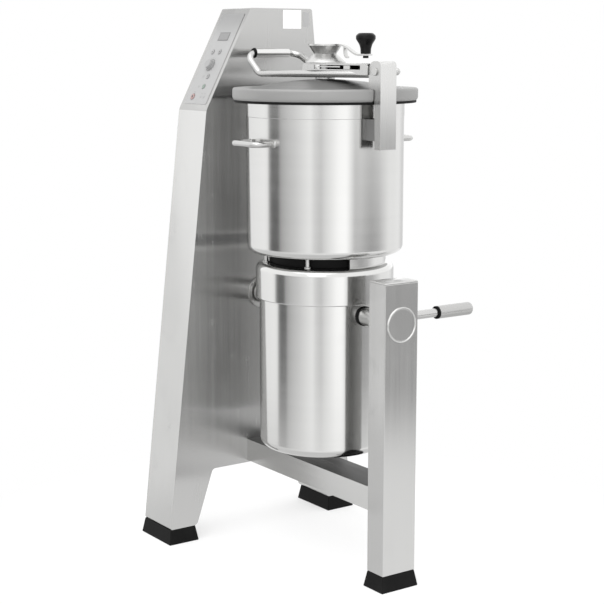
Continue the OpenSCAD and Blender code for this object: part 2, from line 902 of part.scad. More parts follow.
// Sheet channel beside the bowl that carries the lid's hinge pin
module lid_bracket() {
    r = hinge_x - bracket_in;
    outer = [[bracket_x - bracket_arm + 1, bracket_foot], [bracket_x, bracket_foot], [bracket_x, hinge_z + r - 1],
        [bracket_in, hinge_z + r], [bracket_in, rim_top + 12], [bracket_x - 37, rim_top],
        [bracket_x - bracket_arm - 1, rim_bottom]];
    inner = [[bracket_in - 20, bracket_foot - 20], [bracket_x - bracket_wall, bracket_foot - 20],
        [bracket_x - bracket_wall, hinge_z + r - bracket_wall], [hinge_x + 6, hinge_z + r - bracket_wall],
        [hinge_x + 6, hinge_z + r + 20], [bracket_in - 20, hinge_z + r + 20]];
    block = bracket_foot + 20;
    at_axis() color(steel) {
        difference() {
            backwards(-bracket_half, 2 * bracket_half)
                polygon(rounded(outer, [0.5, 0.5, 12, r - 4, 6, 4, 3]));
            backwards(-bracket_half + bracket_wall, 2 * (bracket_half - bracket_wall))
                polygon(rounded(inner, [0.5, 0.5, 9, 0.5, 0.5, 0.5]));
            y_rod(hinge_x, -40, hinge_z, hinge_pin_r, 80);
        }
        difference() {
            translate([bowl_r - 10, -bracket_half + bracket_wall, block])
                cube([bracket_x - bracket_wall - bowl_r + 10, 2 * (bracket_half - bracket_wall), 50]);
            translate([0, 0, block - small]) cylinder(r = bowl_r, h = 60, $fn = 128);
        }
    }
}

pin_tail = 22;

module hinge_pin() {
    at_axis() color(steel) {
        y_rod(hinge_x, -bracket_half - 3, hinge_z, hinge_pin_r, 2 * bracket_half + 3 + pin_tail);
        y_rod(hinge_x, -bracket_half - 4, hinge_z, hinge_pin_r + 3, 4);
        translate([hinge_x, bracket_half, hinge_z]) rotate([-90, 0, 0]) cylinder(r = 10.5, h = 10, $fn = 6);
        translate([hinge_x, bracket_half + 10, hinge_z]) rotate([-90, 0, 0])
            rotate_extrude() intersection() {
                square([9, pin_tail]);
                translate([0, 6]) circle(r = 9);
            }
    }
}

knife_z = bowl_z + bowl_wall + 4;
blade_step = 46;
blade_r = bowl_r - blade_gap;

module knife_hub() {
    in_r = chimney_r + 1.5;
    at_axis() color([0.3, 0.3, 0.32])
        translate([0, 0, knife_z])
            rotate_extrude()
                difference() {
                    union() {
                        square([knife_r, knife_h - 8]);
                        square([knife_r - 8, knife_h]);
                        translate([knife_r - 8, knife_h - 8]) circle(r = 8);
                        for (i = [0:2])
                            translate([0, i * blade_step + blade_t]) square([knife_r + 8, blade_step - blade_t]);
                    }
                    translate([0, -small]) square([in_r, bowl_z + chimney_h + 3 - knife_z + small]);
                    square([shaft_r - 4, shaft_end - knife_z + gap]);
                }
}

// One crescent blade arm: the part of one circle that another leaves
module blade_arm() {
    chord = blade_r - 28;
    back = 0.36 * chord;
    edge = 0.17 * chord;
    back_r = (chord * chord / 4 + back * back) / (2 * back);
    edge_r = (chord * chord / 4 + edge * edge) / (2 * edge);
    difference() {
        translate([28 + chord / 2, back - back_r]) circle(r = back_r, $fn = 96);
        translate([28 + chord / 2, edge - edge_r]) circle(r = edge_r, $fn = 160);
    }
}

module knife_blades() {
    at_axis() color(steel)
        for (i = [0:2])
            translate([0, 0, knife_z + blade_step * i]) rotate(60 * i)
                difference() {
                    union() {
                        linear_extrude(blade_t) {
                            blade_arm();
                            rotate(180) blade_arm();
                        }
                        cylinder(r = knife_r + 8, h = blade_t);
                    }
                    translate([0, 0, -small]) cylinder(r = knife_r, h = blade_t + 2 * small);
                }
}

crank_r = 8;
dome_t = 2;
seal_h = 10;
seal_w = 14;
flange_z = bowl_top + gap + seal_h;

// Height of the dome's upper face at radius r
function dome_top(r) = rim_top + dome_rise - r * r * dome_rise / pow(dome_r, 2);

module lid_dome() {
    steps = 18;
    out = [for (i = [0:steps]) let (r = crank_r + run_gap + (dome_r - crank_r - run_gap) * i / steps) [r, dome_top(r)]];
    under = [for (i = [steps:-1:0]) let (p = out[i]) [min(p[0], dome_r - dome_t), p[1] - dome_t]];
    at_axis() color(grey)
        rotate_extrude($fn = 128)
            polygon(concat(out, [[dome_r, flange_z + dome_t], [dome_r + 13, flange_z + dome_t],
                [dome_r + 13, flange_z], [dome_r - dome_t, flange_z]], under));
}

notch_d = 42;

module lid_rim() {
    wall = 12;
    at_axis() color(grey)
        difference() {
            rotate_extrude($fn = 128)
                difference() {
                    union() {
                        translate([dome_r + gap, flange_z + dome_t])
                            square([rim_r - dome_r - gap - 6, rim_top - flange_z - dome_t]);
                        translate([rim_r - wall, rim_bottom + 10]) square([wall, rim_h - 16]);
                        translate([rim_r - wall, rim_bottom]) square([wall - 10, rim_h]);
                        translate([rim_r - 6, rim_top - 6]) circle(r = 6, $fn = 48);
                        translate([rim_r - 10, rim_bottom + 10]) circle(r = 10, $fn = 48);
                    }
                    translate([dome_r, 0]) square([rim_r - wall - dome_r, flange_z + dome_t]);
                }
            backwards(-bracket_half - 3, 2 * bracket_half + 6)
                polygon([[bracket_x - notch_d, rim_top + 5], [bracket_x - notch_d, rim_top],
                    [bracket_x - bracket_arm - 6, rim_bottom - 5],
                    [bracket_x + 20, rim_bottom - 5], [bracket_x + 20, rim_top + 5]]);
        }
}

module lid_seal() {
    at_axis() color(black)
        translate([0, 0, bowl_top + gap]) ring(bowl_r + seal_w / 2, bowl_r - seal_w / 2, seal_h);
}

arm_near = 11;
arm_far = grip_len / 2 + 14;
arm_drop = 13;
grip_z = hinge_z + 42;
sleeve_r = 10.5;
bridge_half = 28;
bridge_t = 3;
bridge_h = 26;
bridge_ends = [-58, hinge_x - 25];
slot_ends = [-8, hinge_x - 53];
slot_h = 10;

// Y of the arm's rod at x, from the hinge out to the handle
function arm_y(x) = arm_near + (arm_far - arm_near) * (hinge_x - 10 - x) / (hinge_x - 10 + grip_x - 28);
function arm_height(x) = arm_z - (arm_drop - 7) * (hinge_x - x) / (hinge_x + grip_x);

arm_root = [hinge_x - 10, -arm_near, arm_z + 2];
arm_elbow = [-grip_x + 28, -arm_far, arm_height(-grip_x + 28)];

// Bent rod of the lid's handle, both ends on its hinge barrel
module lid_arm() {
    head = [-grip_x, -arm_far - 3, grip_z];
    barrel = bracket_half - bracket_wall - gap;
    at_axis() color(steel)
        difference() {
            union() {
                bent_rod([arm_root, arm_elbow, head, flip(head), flip(arm_elbow), flip(arm_root)], arm_r, 16);
                y_rod(hinge_x, -barrel, hinge_z, 12, 2 * barrel);
            }
            y_rod(hinge_x, -40, hinge_z, hinge_pin_r + run_gap, 80);
        }
}

// Sheet channel over the rods with a long slot in each flange, which carries the hub
module lid_bridge() {
    low = bridge_z - bridge_h;
    long = bridge_ends[1] - bridge_ends[0];
    at_axis() color(steel)
        difference() {
            backwards(-bridge_half, 2 * bridge_half)
                polygon(rounded([[bridge_ends[0], low], [bridge_ends[1], low], [bridge_ends[1], bridge_z],
                    [bridge_ends[0], bridge_z]], [12, 2, 8, 12]));
            translate([bridge_ends[0] - small, -bridge_half + bridge_t, low - small])
                cube([long + 2 * small, 2 * (bridge_half - bridge_t), bridge_h - bridge_t + small]);
            translate([slot_ends[0], -bridge_half - small, bridge_z - 4 - slot_h])
                cube([slot_ends[1] - slot_ends[0], 2 * bridge_half + 2 * small, slot_h]);
            translate([hinge_x - 31, -bracket_half - 1, low - small]) cube([40, 2 * bracket_half + 2, bridge_h + 5]);
            translate([0, 0, bridge_z - 10]) cylinder(r = stem_r + run_gap, h = 20);
            straight_rod(arm_root, arm_elbow, arm_r + run_gap);
            straight_rod(flip(arm_root), flip(arm_elbow), arm_r + run_gap);
        }
}

stem_r = 14;
hub_base_r = 50;
hub_neck_r = 28;
hub_neck_z = bridge_z + 23;
hub_top_z = bridge_z + 46;
hub_top_r = 40;

// Fixed lower half of the hub, with the stem that presses the lid down
module lid_hub() {
    at_axis() color(steel)
        difference() {
            union() {
                rotate_extrude()
                    polygon([[0, bridge_z], [hub_base_r, bridge_z], [hub_base_r, bridge_z + 3],
                        [hub_neck_r, hub_neck_z], [0, hub_neck_z]]);
                translate([0, 0, dome_top(0)]) cylinder(r = stem_r, h = bridge_z - dome_top(0) + 1);
                difference() {
                    translate([0, 0, dome_top(0) - 1]) cylinder(r = 24, h = 7);
                    translate([0, 0, dome_top(0) - 5]) cylinder(r = 30, h = 5);
                }
            }
            translate([0, 0, dome_top(0) - 10]) cylinder(r = crank_r + run_gap, h = 100);
        }
}

module grip_sleeve() {
    at_axis() {
        color(steel)
            translate([-grip_x, -grip_len / 2, grip_z]) rotate([-90, 0, 0]) ring(sleeve_r, sleeve_r - 1.6, grip_len);
        color(black)
            translate([-grip_x, -grip_len / 2 + 10, grip_z]) rotate([-90, 0, 0])
                ring(sleeve_r - 1.6, arm_r + run_gap, grip_len - 20);
    }
}

crank_turn = 29;
strip_t = 4;
strip_w = 22;
crank_flat = 52;
crank_fall = 24;
stud_r = 4;
crank_end_z = hub_top_z - crank_fall;
wiper_z = rim_top - 8;
wiper_r = dome_r - 22;

// Turning top half of the hub with its lever, stud, shaft and the wiper under the lid
module crank() {
    at_axis() rotate(crank_turn) color(steel) {
        rotate_extrude()
            polygon([[0, hub_neck_z + gap], [hub_neck_r, hub_neck_z + gap], [hub_top_r, hub_top_z - 4],
                [hub_top_r + 2, hub_top_z - 4], [hub_top_r + 2, hub_top_z], [0, hub_top_z]]);
        backwards(-strip_w / 2, strip_w)
            polygon([[hub_top_r - 10, hub_top_z - strip_t], [crank_flat, hub_top_z - strip_t],
                [crank_reach - 15, crank_end_z - strip_t], [crank_reach + 13, crank_end_z - strip_t],
                [crank_reach + 13, crank_end_z], [crank_reach - 14, crank_end_z], [crank_flat + 1, hub_top_z],
                [hub_top_r - 10, hub_top_z]]);
        translate([crank_reach, 0, crank_end_z - strip_t - 6]) cylinder(r = 7.5, h = 6 + small, $fn = 6);
        translate([crank_reach, 0, crank_end_z - small]) cylinder(r = stud_r, h = knob_h - 12);
        translate([0, 0, wiper_z]) cylinder(r = crank_r, h = hub_neck_z - wiper_z + 5);
        backwards(-4, 8)
            polygon(concat([for (a = [180:15:280]) [crank_flat + 8 + 8 * cos(a), hub_top_z - 10 + 22 * sin(a)]],
                [for (a = [280:-15:180]) [crank_flat + 8 + 5 * cos(a), hub_top_z - 10 + 18 * sin(a)]],
                [[crank_flat + 3, hub_top_z - 2.5], [crank_flat, hub_top_z - 2.5]]));
        translate([0, 0, wiper_z]) cylinder(r = 16, h = 5);
        translate([-wiper_r, -7, wiper_z]) cube([2 * wiper_r, 14, 4]);
    }
}

module crank_knob() {
    at_axis() rotate(crank_turn) color(black)
        translate([crank_reach, 0, crank_end_z + gap])
            rotate_extrude()
                difference() {
                    union() {
                        polygon([[0, 0], [12.5, 0], [13, 12], [15.5, 22], [22, 0.62 * knob_h], [24, 0.7 * knob_h], [0, 0.7 * knob_h]]);
                        translate([0, 0.7 * knob_h]) square([24, 0.16 * knob_h]);
                        translate([0, 0.86 * knob_h]) square([17, 0.14 * knob_h]);
                        translate([17, 0.86 * knob_h]) circle(r = 7);
                    }
                    translate([0, -small]) square([stud_r + run_gap, knob_h - 12]);
                }
}

column_shell();
column_side_cover();
cover_screws();
control_plate();
display_window();
minus_key();
plus_key();
pulse_key();
start_key();
stop_key();
speed_knob();
signal_lenses();
control_board();
drive_electronics();
bearing_plate();
column_bearing();
label_large();
label_small();
cable_gland();
front_foot();
rear_foot();
post_foot();
base_beam();
beam_bolts();
support_post();
post_cap();
post_bush();
pivot_cover();
motor_casing();
motor_cap();
pivot_yoke();
post_trunnion();
column_trunnion();
trunnion_seals();
tilt_lever();
lever_grip();
lever_collar();
motor_frame();
stator();
rotor();
drive_shaft();
shaft_bearings();
bowl_seat_ring();
bowl_pegs();
bowl_lock_block();
bowl_shell();
bowl_handles();
lid_bracket();
hinge_pin();
knife_hub();
knife_blades();
lid_dome();
lid_rim();
lid_seal();
lid_arm();
lid_bridge();
lid_hub();
grip_sleeve();
crank();
crank_knob();
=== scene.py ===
import json
import math
import time

import bmesh
import bpy
import numpy as np
from mathutils import Matrix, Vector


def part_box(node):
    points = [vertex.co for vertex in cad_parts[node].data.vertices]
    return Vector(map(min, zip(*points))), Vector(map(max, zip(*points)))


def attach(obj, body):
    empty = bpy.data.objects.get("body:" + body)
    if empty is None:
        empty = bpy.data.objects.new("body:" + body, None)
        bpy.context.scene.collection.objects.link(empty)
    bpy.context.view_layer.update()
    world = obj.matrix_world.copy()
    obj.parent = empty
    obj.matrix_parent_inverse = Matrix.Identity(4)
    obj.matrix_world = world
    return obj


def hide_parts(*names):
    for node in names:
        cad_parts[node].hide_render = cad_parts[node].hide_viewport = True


started = time.time()
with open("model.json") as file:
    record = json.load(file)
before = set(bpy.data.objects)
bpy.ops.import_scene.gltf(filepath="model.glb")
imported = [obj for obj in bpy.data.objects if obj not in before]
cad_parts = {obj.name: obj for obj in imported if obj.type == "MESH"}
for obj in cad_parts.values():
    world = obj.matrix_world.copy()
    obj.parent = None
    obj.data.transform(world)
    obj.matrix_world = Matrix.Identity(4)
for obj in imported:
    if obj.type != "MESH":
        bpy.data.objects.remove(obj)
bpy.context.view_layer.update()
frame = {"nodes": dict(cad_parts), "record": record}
nodes = frame["nodes"]
record = frame["record"]
bodyOf = {node: body for body, members in record["behaviour"]["bodies"].items() for node in members}
slotOf = {row["node"]: row["material_slot"] for row in record["subparts"]}


def report(stage):
    print(f"{stage}, {time.time() - started:.1f} s")


report("frame loaded")


def unit(v):
    return v / np.linalg.norm(v, axis=-1, keepdims=True)


# a row of points beside each end of an arc keeps the flats flat in the light
support = {"share": 0.12, "most": 0.0006}


def roundedPath(corners, radii, steps=8, closed=False):
    # corner b between a and c, unit vectors u to a and v to c, half their angle h:
    # centre = b + unit(u + v) r / sin h, and the arc runs from b + u r / tan h to b + v r / tan h
    points = np.array(corners, float)
    rows = []
    last = len(points) - 1
    for i, radius in enumerate(radii):
        b = points[i]
        if radius == 0 or (not closed and i in (0, last)):
            rows.append(b[None])
            continue
        u, v = unit(points[i - 1] - b), unit(points[(i + 1) % (last + 1)] - b)
        half = np.arccos(np.clip(u @ v, -1, 1)) / 2
        begin, end = b + u * radius / np.tan(half), b + v * radius / np.tan(half)
        centre = b + unit(u + v) * radius / np.sin(half)
        angle = np.linspace(0, np.pi - 2 * half, steps + 1)[:, None]
        arc = centre + (begin - centre) * np.cos(angle) - u * radius * np.sin(angle)
        lead = min(radius * support["share"], support["most"])
        rows.append(np.vstack([begin + u * lead, arc, end + v * lead]))
    return np.vstack(rows)


def gridFaces(rows, columns, closedRows, closedColumns):
    # face (i, j) joins points (i, j), (i, j + 1), (i + 1, j + 1) and (i + 1, j), and a closed grid wraps round
    i = np.arange(rows if closedRows else rows - 1)[:, None]
    j = np.arange(columns if closedColumns else columns - 1)[None]
    a = i * columns + j
    b = i * columns + (j + 1) % columns
    c = (i + 1) % rows * columns + (j + 1) % columns
    d = (i + 1) % rows * columns + j
    return np.stack([a, b, c, d], -1).reshape(-1, 4)


# points nearer than weld become one, in print fineWeld, and an edge over sharp degrees stays sharp in the light
meshing = {"weld": 1e-7, "fineWeld": 1e-9, "sharp": 35}


def meshPiece(name, points, faces, weld=meshing["weld"], recalculate=True):
    mesh = bpy.data.meshes.new(name)
    mesh.from_pydata(np.asarray(points).reshape(-1, 3).tolist(), [], [list(map(int, f)) for f in faces])
    work = bmesh.new()
    work.from_mesh(mesh)
    bmesh.ops.remove_doubles(work, verts=work.verts, dist=weld)
    bmesh.ops.dissolve_degenerate(work, edges=work.edges, dist=weld)
    if recalculate:
        bmesh.ops.recalc_face_normals(work, faces=work.faces)
    work.to_mesh(mesh)
    work.free()
    mesh.shade_smooth()
    mesh.set_sharp_from_angle(angle=math.radians(meshing["sharp"]))
    piece = bpy.data.objects.new(name, mesh)
    bpy.context.scene.collection.objects.link(piece)
    return piece


axes = {
    "x": np.array([[0, 1, 0], [0, 0, 1], [1, 0, 0]], float),
    "y": np.array([[0, 0, 1], [1, 0, 0], [0, 1, 0]], float),
    "z": np.array([[1, 0, 0], [0, 1, 0], [0, 0, 1]], float)}


def turned(name, profile, origin, axis, segments, closed=False):
    # p(i, a) = origin + r_i (e cos a + f sin a) + h_i d, for a profile of rows (r, h) round the axis d
    e, f, d = axes[axis]
    profile = np.array(profile, float)
    a = np.linspace(0, 2 * np.pi, segments, endpoint=False)
    spoke = np.cos(a)[:, None] * e + np.sin(a)[:, None] * f
    points = np.array(origin) + profile[:, None, :1] * spoke[None] + profile[:, None, 1:] * d
    return meshPiece(name, points, gridFaces(len(profile), segments, closed, True))


def collar(name, inner, outer, begin, end, radii, origin, axis, segments, steps=6):
    # a rectangle of wall from inner to outer and from begin to end, its corners rounded, turned round the axis
    loop = [(inner, begin), (outer, begin), (outer, end), (inner, end)]
    return turned(name, roundedPath(loop, radii, steps, True), origin, axis, segments, True)


rodEnd = {"bevel": 0.25, "rings": 5}  # the round edge at a rod's ends, as a share of its radius


def rod(name, path, radius, segments=32):
    # p(i, a) = c_i + r (s_i cos a + t_i sin a), with s level and square to the path, and t square to both
    path = np.array(path, float)
    along = unit(np.gradient(path, axis=0))
    side = unit(np.cross(along, (0, 0, 1)))
    top = np.cross(side, along)
    a = np.linspace(0, 2 * np.pi, segments, endpoint=False)
    hoop = np.cos(a)[None, :, None] * side[:, None] + np.sin(a)[None, :, None] * top[:, None]
    radii = np.full(len(path), radius)
    centres = path
    # each end closes over a small round edge to one point
    turn = np.linspace(0, np.pi / 2, rodEnd["rings"])[1:, None]
    bevel = radius * rodEnd["bevel"]
    for end, sign in ((0, -1), (-1, 1)):
        extra = path[end] + sign * along[end] * bevel * (np.sin(turn) - 1)
        ring = radius - bevel * (1 - np.cos(turn[:, 0]))
        ring = np.append(ring, 0)
        extra = np.vstack([extra, extra[-1]])
        hoops = np.repeat(hoop[end][None], len(ring), 0)
        if sign < 0:
            centres = np.vstack([extra[::-1], centres[1:]])
            radii = np.concatenate([ring[::-1], radii[1:]])
            hoop = np.concatenate([hoops, hoop[1:]])
        else:
            centres = np.vstack([centres[:-1], extra])
            radii = np.concatenate([radii[:-1], ring])
            hoop = np.concatenate([hoop[:-1], hoops])
    points = centres[:, None] + radii[:, None, None] * hoop
    return meshPiece(name, points, gridFaces(len(centres), segments, False, True))


def prisms(name, outlines, place, height):
    # each flat outline (x, s) becomes a prism from place(x, s, 0) to place(x, s, height)
    points, faces, start = [], [], 0
    for outline in outlines:
        outline = np.array(outline, float)
        count = len(outline)
        points += [place(outline[:, 0], outline[:, 1], level) for level in (0.0, height)]
        j = np.arange(count)
        k = (j + 1) % count
        faces += [(start + j[::-1]).tolist(), (start + count + j).tolist()]
        faces += np.stack([start + j, start + k, start + count + k, start + count + j], -1).tolist()
        start += 2 * count
    return meshPiece(name, np.vstack(points), faces, weld=meshing["fineWeld"])


def bands(name, rings, place, height, base=0.0):
    # each flat band between two closed outlines becomes a band that rises from base by height
    points, faces, start = [], [], 0
    for outer, inner in rings:
        count = len(outer)
        for outline, level in ((outer, base), (outer, base + height), (inner, base + height), (inner, base)):
            outline = np.array(outline, float)
            points.append(place(outline[:, 0], outline[:, 1], level))
        faces += (gridFaces(4, count, True, True) + start).tolist()
        start += 4 * count
    return meshPiece(name, np.vstack(points), faces, weld=meshing["fineWeld"])


def dress(piece, body, slot, material, *replaced):
    piece.data.materials.clear()
    piece.data.materials.append(material)
    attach(piece, body)
    if replaced:
        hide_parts(*replaced)


class Wire:
    # a shader socket that builds Math nodes when it stands in an expression
    def __init__(self, finish, socket):
        self.finish = finish
        self.socket = socket

    def __add__(self, other):
        return self.finish.math("ADD", self, other)

    def __radd__(self, other):
        return self.finish.math("ADD", other, self)

    def __sub__(self, other):
        return self.finish.math("SUBTRACT", self, other)

    def __rsub__(self, other):
        return self.finish.math("SUBTRACT", other, self)

    def __mul__(self, other):
        return self.finish.math("MULTIPLY", self, other)

    def __rmul__(self, other):
        return self.finish.math("MULTIPLY", other, self)

    def __truediv__(self, other):
        return self.finish.math("DIVIDE", self, other)

    def __rtruediv__(self, other):
        return self.finish.math("DIVIDE", other, self)


class Finish:
    # one node tree, of a material or of the world
    def __init__(self, owner):
        owner.use_nodes = True
        self.owner = owner
        self.tree = owner.node_tree
        self.tree.nodes.clear()

    def add(self, kind, settings=None, inputs=None, out=0):
        node = self.tree.nodes.new(kind)
        for key, value in (settings or {}).items():
            if key == "stops":
                self.ramp(node.color_ramp, value)
            else:
                setattr(node, key, value)
        for key, value in (inputs or {}).items():
            if isinstance(value, Wire):
                self.tree.links.new(value.socket, node.inputs[key])
            else:
                node.inputs[key].default_value = value
        return Wire(self, node.outputs[out] if len(node.outputs) else None)

    def ramp(self, band, stops):
        while len(band.elements) < len(stops):
            band.elements.new(0.5)
        for element, (position, value) in zip(band.elements, stops):
            element.position = position
            element.color = tone(value)

    def math(self, operation, *values):
        return self.add("ShaderNodeMath", {"operation": operation}, dict(enumerate(values)))

    def smooth(self, value, low, high):
        settings = {"interpolation_type": "SMOOTHSTEP"}
        return self.add("ShaderNodeMapRange", settings, {"Value": value, "From Min": low, "From Max": high})

    def blend(self, factor, a, b):
        return self.add("ShaderNodeMix", {"data_type": "RGBA"}, {0: factor, 6: a, 7: b}, 2)

    def objectPlace(self, scale=(1, 1, 1), shift=(0, 0, 0)):
        place = self.add("ShaderNodeTexCoord", out="Object")
        return self.add("ShaderNodeMapping", {}, {"Vector": place, "Scale": scale, "Location": shift})

    def height(self):
        return self.add("ShaderNodeSeparateXYZ", {}, {0: self.objectPlace()}, 2)

    def noise(self, scale, detail, shift=(0, 0, 0)):
        place = self.objectPlace(scale if isinstance(scale, tuple) else (scale,) * 3, shift)
        return self.add("ShaderNodeTexNoise", {}, {"Vector": place, "Scale": 1.0, "Detail": detail})

    def bump(self, height, strength, distance):
        return self.add("ShaderNodeBump", {}, {"Height": height, "Strength": strength, "Distance": distance})

    def surface(self, inputs):
        shader = self.add("ShaderNodeBsdfPrincipled", {}, inputs)
        self.add("ShaderNodeOutputMaterial", {}, {"Surface": shader})
        return self.owner


def tone(value):
    # a grey, or a colour given as three numbers, with the alpha that a socket wants
    return (*value, 1.0) if isinstance(value, tuple) else (value, value, value, 1.0)


def newFinish(name):
    return Finish(bpy.data.materials.new(name))


# what all the brushed steels share: the size of the patterns, and how much each moves the shade and the gloss
brushing = {"clouds": 5.0, "smudges": 18.0, "smudgeFrom": 0.55, "smudgeTo": 0.8, "streakShade": 1.2,
            "cloudShade": 0.06, "lineGloss": 0.35, "streakGloss": 0.3, "cloudGloss": 0.25, "smudgeGloss": 0.03,
            "green": 0.998, "blue": 0.985, "bump": 0.05, "depth": 0.0001}


def brushedSteel(name, look):
    # fine lines along the brushing, broad streaks, slow clouds, and faint smudges, all small
    f = newFinish(name)
    lines = f.noise(look["lines"], 2.0)
    streaks = f.noise(look["streaks"], 3.0, (3.1, 1.7, 0.4))
    clouds = f.noise(brushing["clouds"], 2.0, (0.3, 2.2, 5.1))
    dirt = f.noise(brushing["smudges"], 4.0, (7.7, 0.2, 1.9))
    smudges = f.smooth(dirt, brushing["smudgeFrom"], brushing["smudgeTo"])
    fine, broad, slow = lines - 0.5, streaks - 0.5, clouds - 0.5
    base, contrast = look["base"], look["contrast"]
    # painted shade: between two heights the base turns to the look's darker value
    if look.get("paintedShade"):
        low, high, value = look["paintedShade"]
        base = base + f.smooth(f.height(), low, high) * (value - base)
    shade = base * (1.0 + fine * contrast + broad * (contrast * brushing["streakShade"])
                    + slow * brushing["cloudShade"])
    grey = f.add("ShaderNodeCombineColor", {}, {0: shade, 1: shade * brushing["green"], 2: shade * brushing["blue"]})
    gloss = fine * brushing["lineGloss"] + broad * brushing["streakGloss"] + slow * brushing["cloudGloss"]
    return f.surface({
        "Base Color": grey, "Metallic": look.get("metal", 1.0),
        "Roughness": look["roughness"] * (1.0 + gloss) + smudges * brushing["smudgeGloss"],
        "Anisotropic": look["anisotropy"], "Anisotropic Rotation": look.get("turn", 0.0),
        "Normal": f.bump(lines, brushing["bump"], brushing["depth"])})


# what all the paints, rubbers and plastics share, unless a look gives its own
moulding = {"worn": None, "metal": 0.0, "coat": 0.0, "shine": 0.5, "grain": 900.0, "bump": 0.1, "depth": 0.0002,
            "clouds": 14.0, "wornFrom": 0.45, "wornTo": 0.75, "grainGloss": 0.08, "wornGloss": 0.06,
            "coatRoughness": 0.12, "ior": 1.5}


def plainSolid(name, ownLook):
    # paint, rubber or plastic: its colour, a fine grain, and a little wear in the gloss
    look = {**moulding, **ownLook}
    f = newFinish(name)
    grain = f.noise(look["grain"], 2.0)
    worn = f.smooth(f.noise(look["clouds"], 3.0, (1.2, 4.1, 0.7)), look["wornFrom"], look["wornTo"])
    base = f.blend(worn, tone(look["base"]), tone(look["worn"] or look["base"]))
    # painted shade: between two heights the colour turns to the look's darker value
    if look.get("paintedShade"):
        low, high, value = look["paintedShade"]
        base = f.blend(f.smooth(f.height(), low, high), base, tone(value))
    return f.surface({
        "Base Color": base, "Metallic": look["metal"],
        "Roughness": look["roughness"] + (grain - 0.5) * look["grainGloss"] + worn * look["wornGloss"],
        "Coat Weight": look["coat"], "Coat Roughness": look["coatRoughness"], "IOR": look["ior"],
        "Specular IOR Level": look["shine"], "Normal": f.bump(grain, look["bump"], look["depth"])})


# how often the lines and the streaks come along X, Y and Z; a paintedShade gives two heights and the shade painted
# above them
uprightBrush = {"lines": (900.0, 900.0, 5.0), "streaks": (70.0, 70.0, 0.8)}
levelBrush = {"lines": (5.0, 900.0, 900.0), "streaks": (0.8, 70.0, 70.0)}
roundBrush = {"lines": (9.0, 9.0, 800.0), "streaks": (5.0, 5.0, 50.0)}
evenBrush = {"lines": (500.0, 500.0, 500.0), "streaks": (40.0, 40.0, 40.0)}
sheetLook = {"base": 0.55, "roughness": 0.24, "anisotropy": 1.0, "contrast": 0.05}
steels = {
    "columnSteel": {**sheetLook, **uprightBrush},
    # the wide face behind the bowl wears a darker copy of the sheet, painted shade for the bowl's dark reflection
    "columnFacePaintedShade": {**sheetLook, **uprightBrush, "base": 0.42},
    # the slope's steel is painted darker towards its top, a painted shade
    "slopeSteel": {**sheetLook, "base": 0.42, "paintedShade": (1.32, 1.39, 0.31),
                   "lines": (900.0, 5.0, 5.0), "streaks": (70.0, 0.8, 0.8)},
    "postSteel": {**sheetLook, **uprightBrush, "base": 0.5, "roughness": 0.22},
    "beamSteel": {**sheetLook, **levelBrush, "anisotropy": 0.3},
    # the beam's upper face is painted nearly black, a painted shade for the casing's shadow and dark reflection
    "beamTopPaintedShade": {**sheetLook, **levelBrush, "base": 0.03, "roughness": 0.3, "anisotropy": 0.3},
    "bracketSteel": {**sheetLook, "lines": (700.0, 700.0, 6.0), "streaks": (90.0, 90.0, 2.0), "roughness": 0.28},
    "spunSteel": {"base": 0.55, "roughness": 0.15, "anisotropy": 0.5, "turn": 0.25, "contrast": 0.04,
                  "lines": (6.0, 6.0, 900.0), "streaks": (2.0, 2.0, 60.0)},
    "rimSteel": {**roundBrush, "base": 0.25, "roughness": 0.5, "metal": 0.5, "anisotropy": 0.0, "contrast": 0.05},
    "lidSteel": {**roundBrush, "base": 0.14, "roughness": 0.42, "metal": 0.6, "anisotropy": 0.0, "contrast": 0.05},
    # painted shade for the foot inside the lid's bracket
    "shadeSteel": {**evenBrush, "base": 0.17, "roughness": 0.5, "metal": 0.5, "anisotropy": 0.0, "contrast": 0.05},
    "rodSteel": {**evenBrush, "base": 0.47, "roughness": 0.26, "anisotropy": 0.0, "contrast": 0.03},
    "sleeveSteel": {**evenBrush, "base": 0.6, "roughness": 0.2, "anisotropy": 0.0, "contrast": 0.03},
    "machinedSteel": {"base": 0.5, "roughness": 0.3, "anisotropy": 0.2, "contrast": 0.08,
                      "lines": (400.0, 400.0, 400.0), "streaks": (60.0, 60.0, 60.0)},
    "gripSteel": {"base": 0.42, "roughness": 0.4, "anisotropy": 0.2, "contrast": 0.05,
                  "lines": (500.0, 30.0, 500.0), "streaks": (40.0, 8.0, 40.0)}}
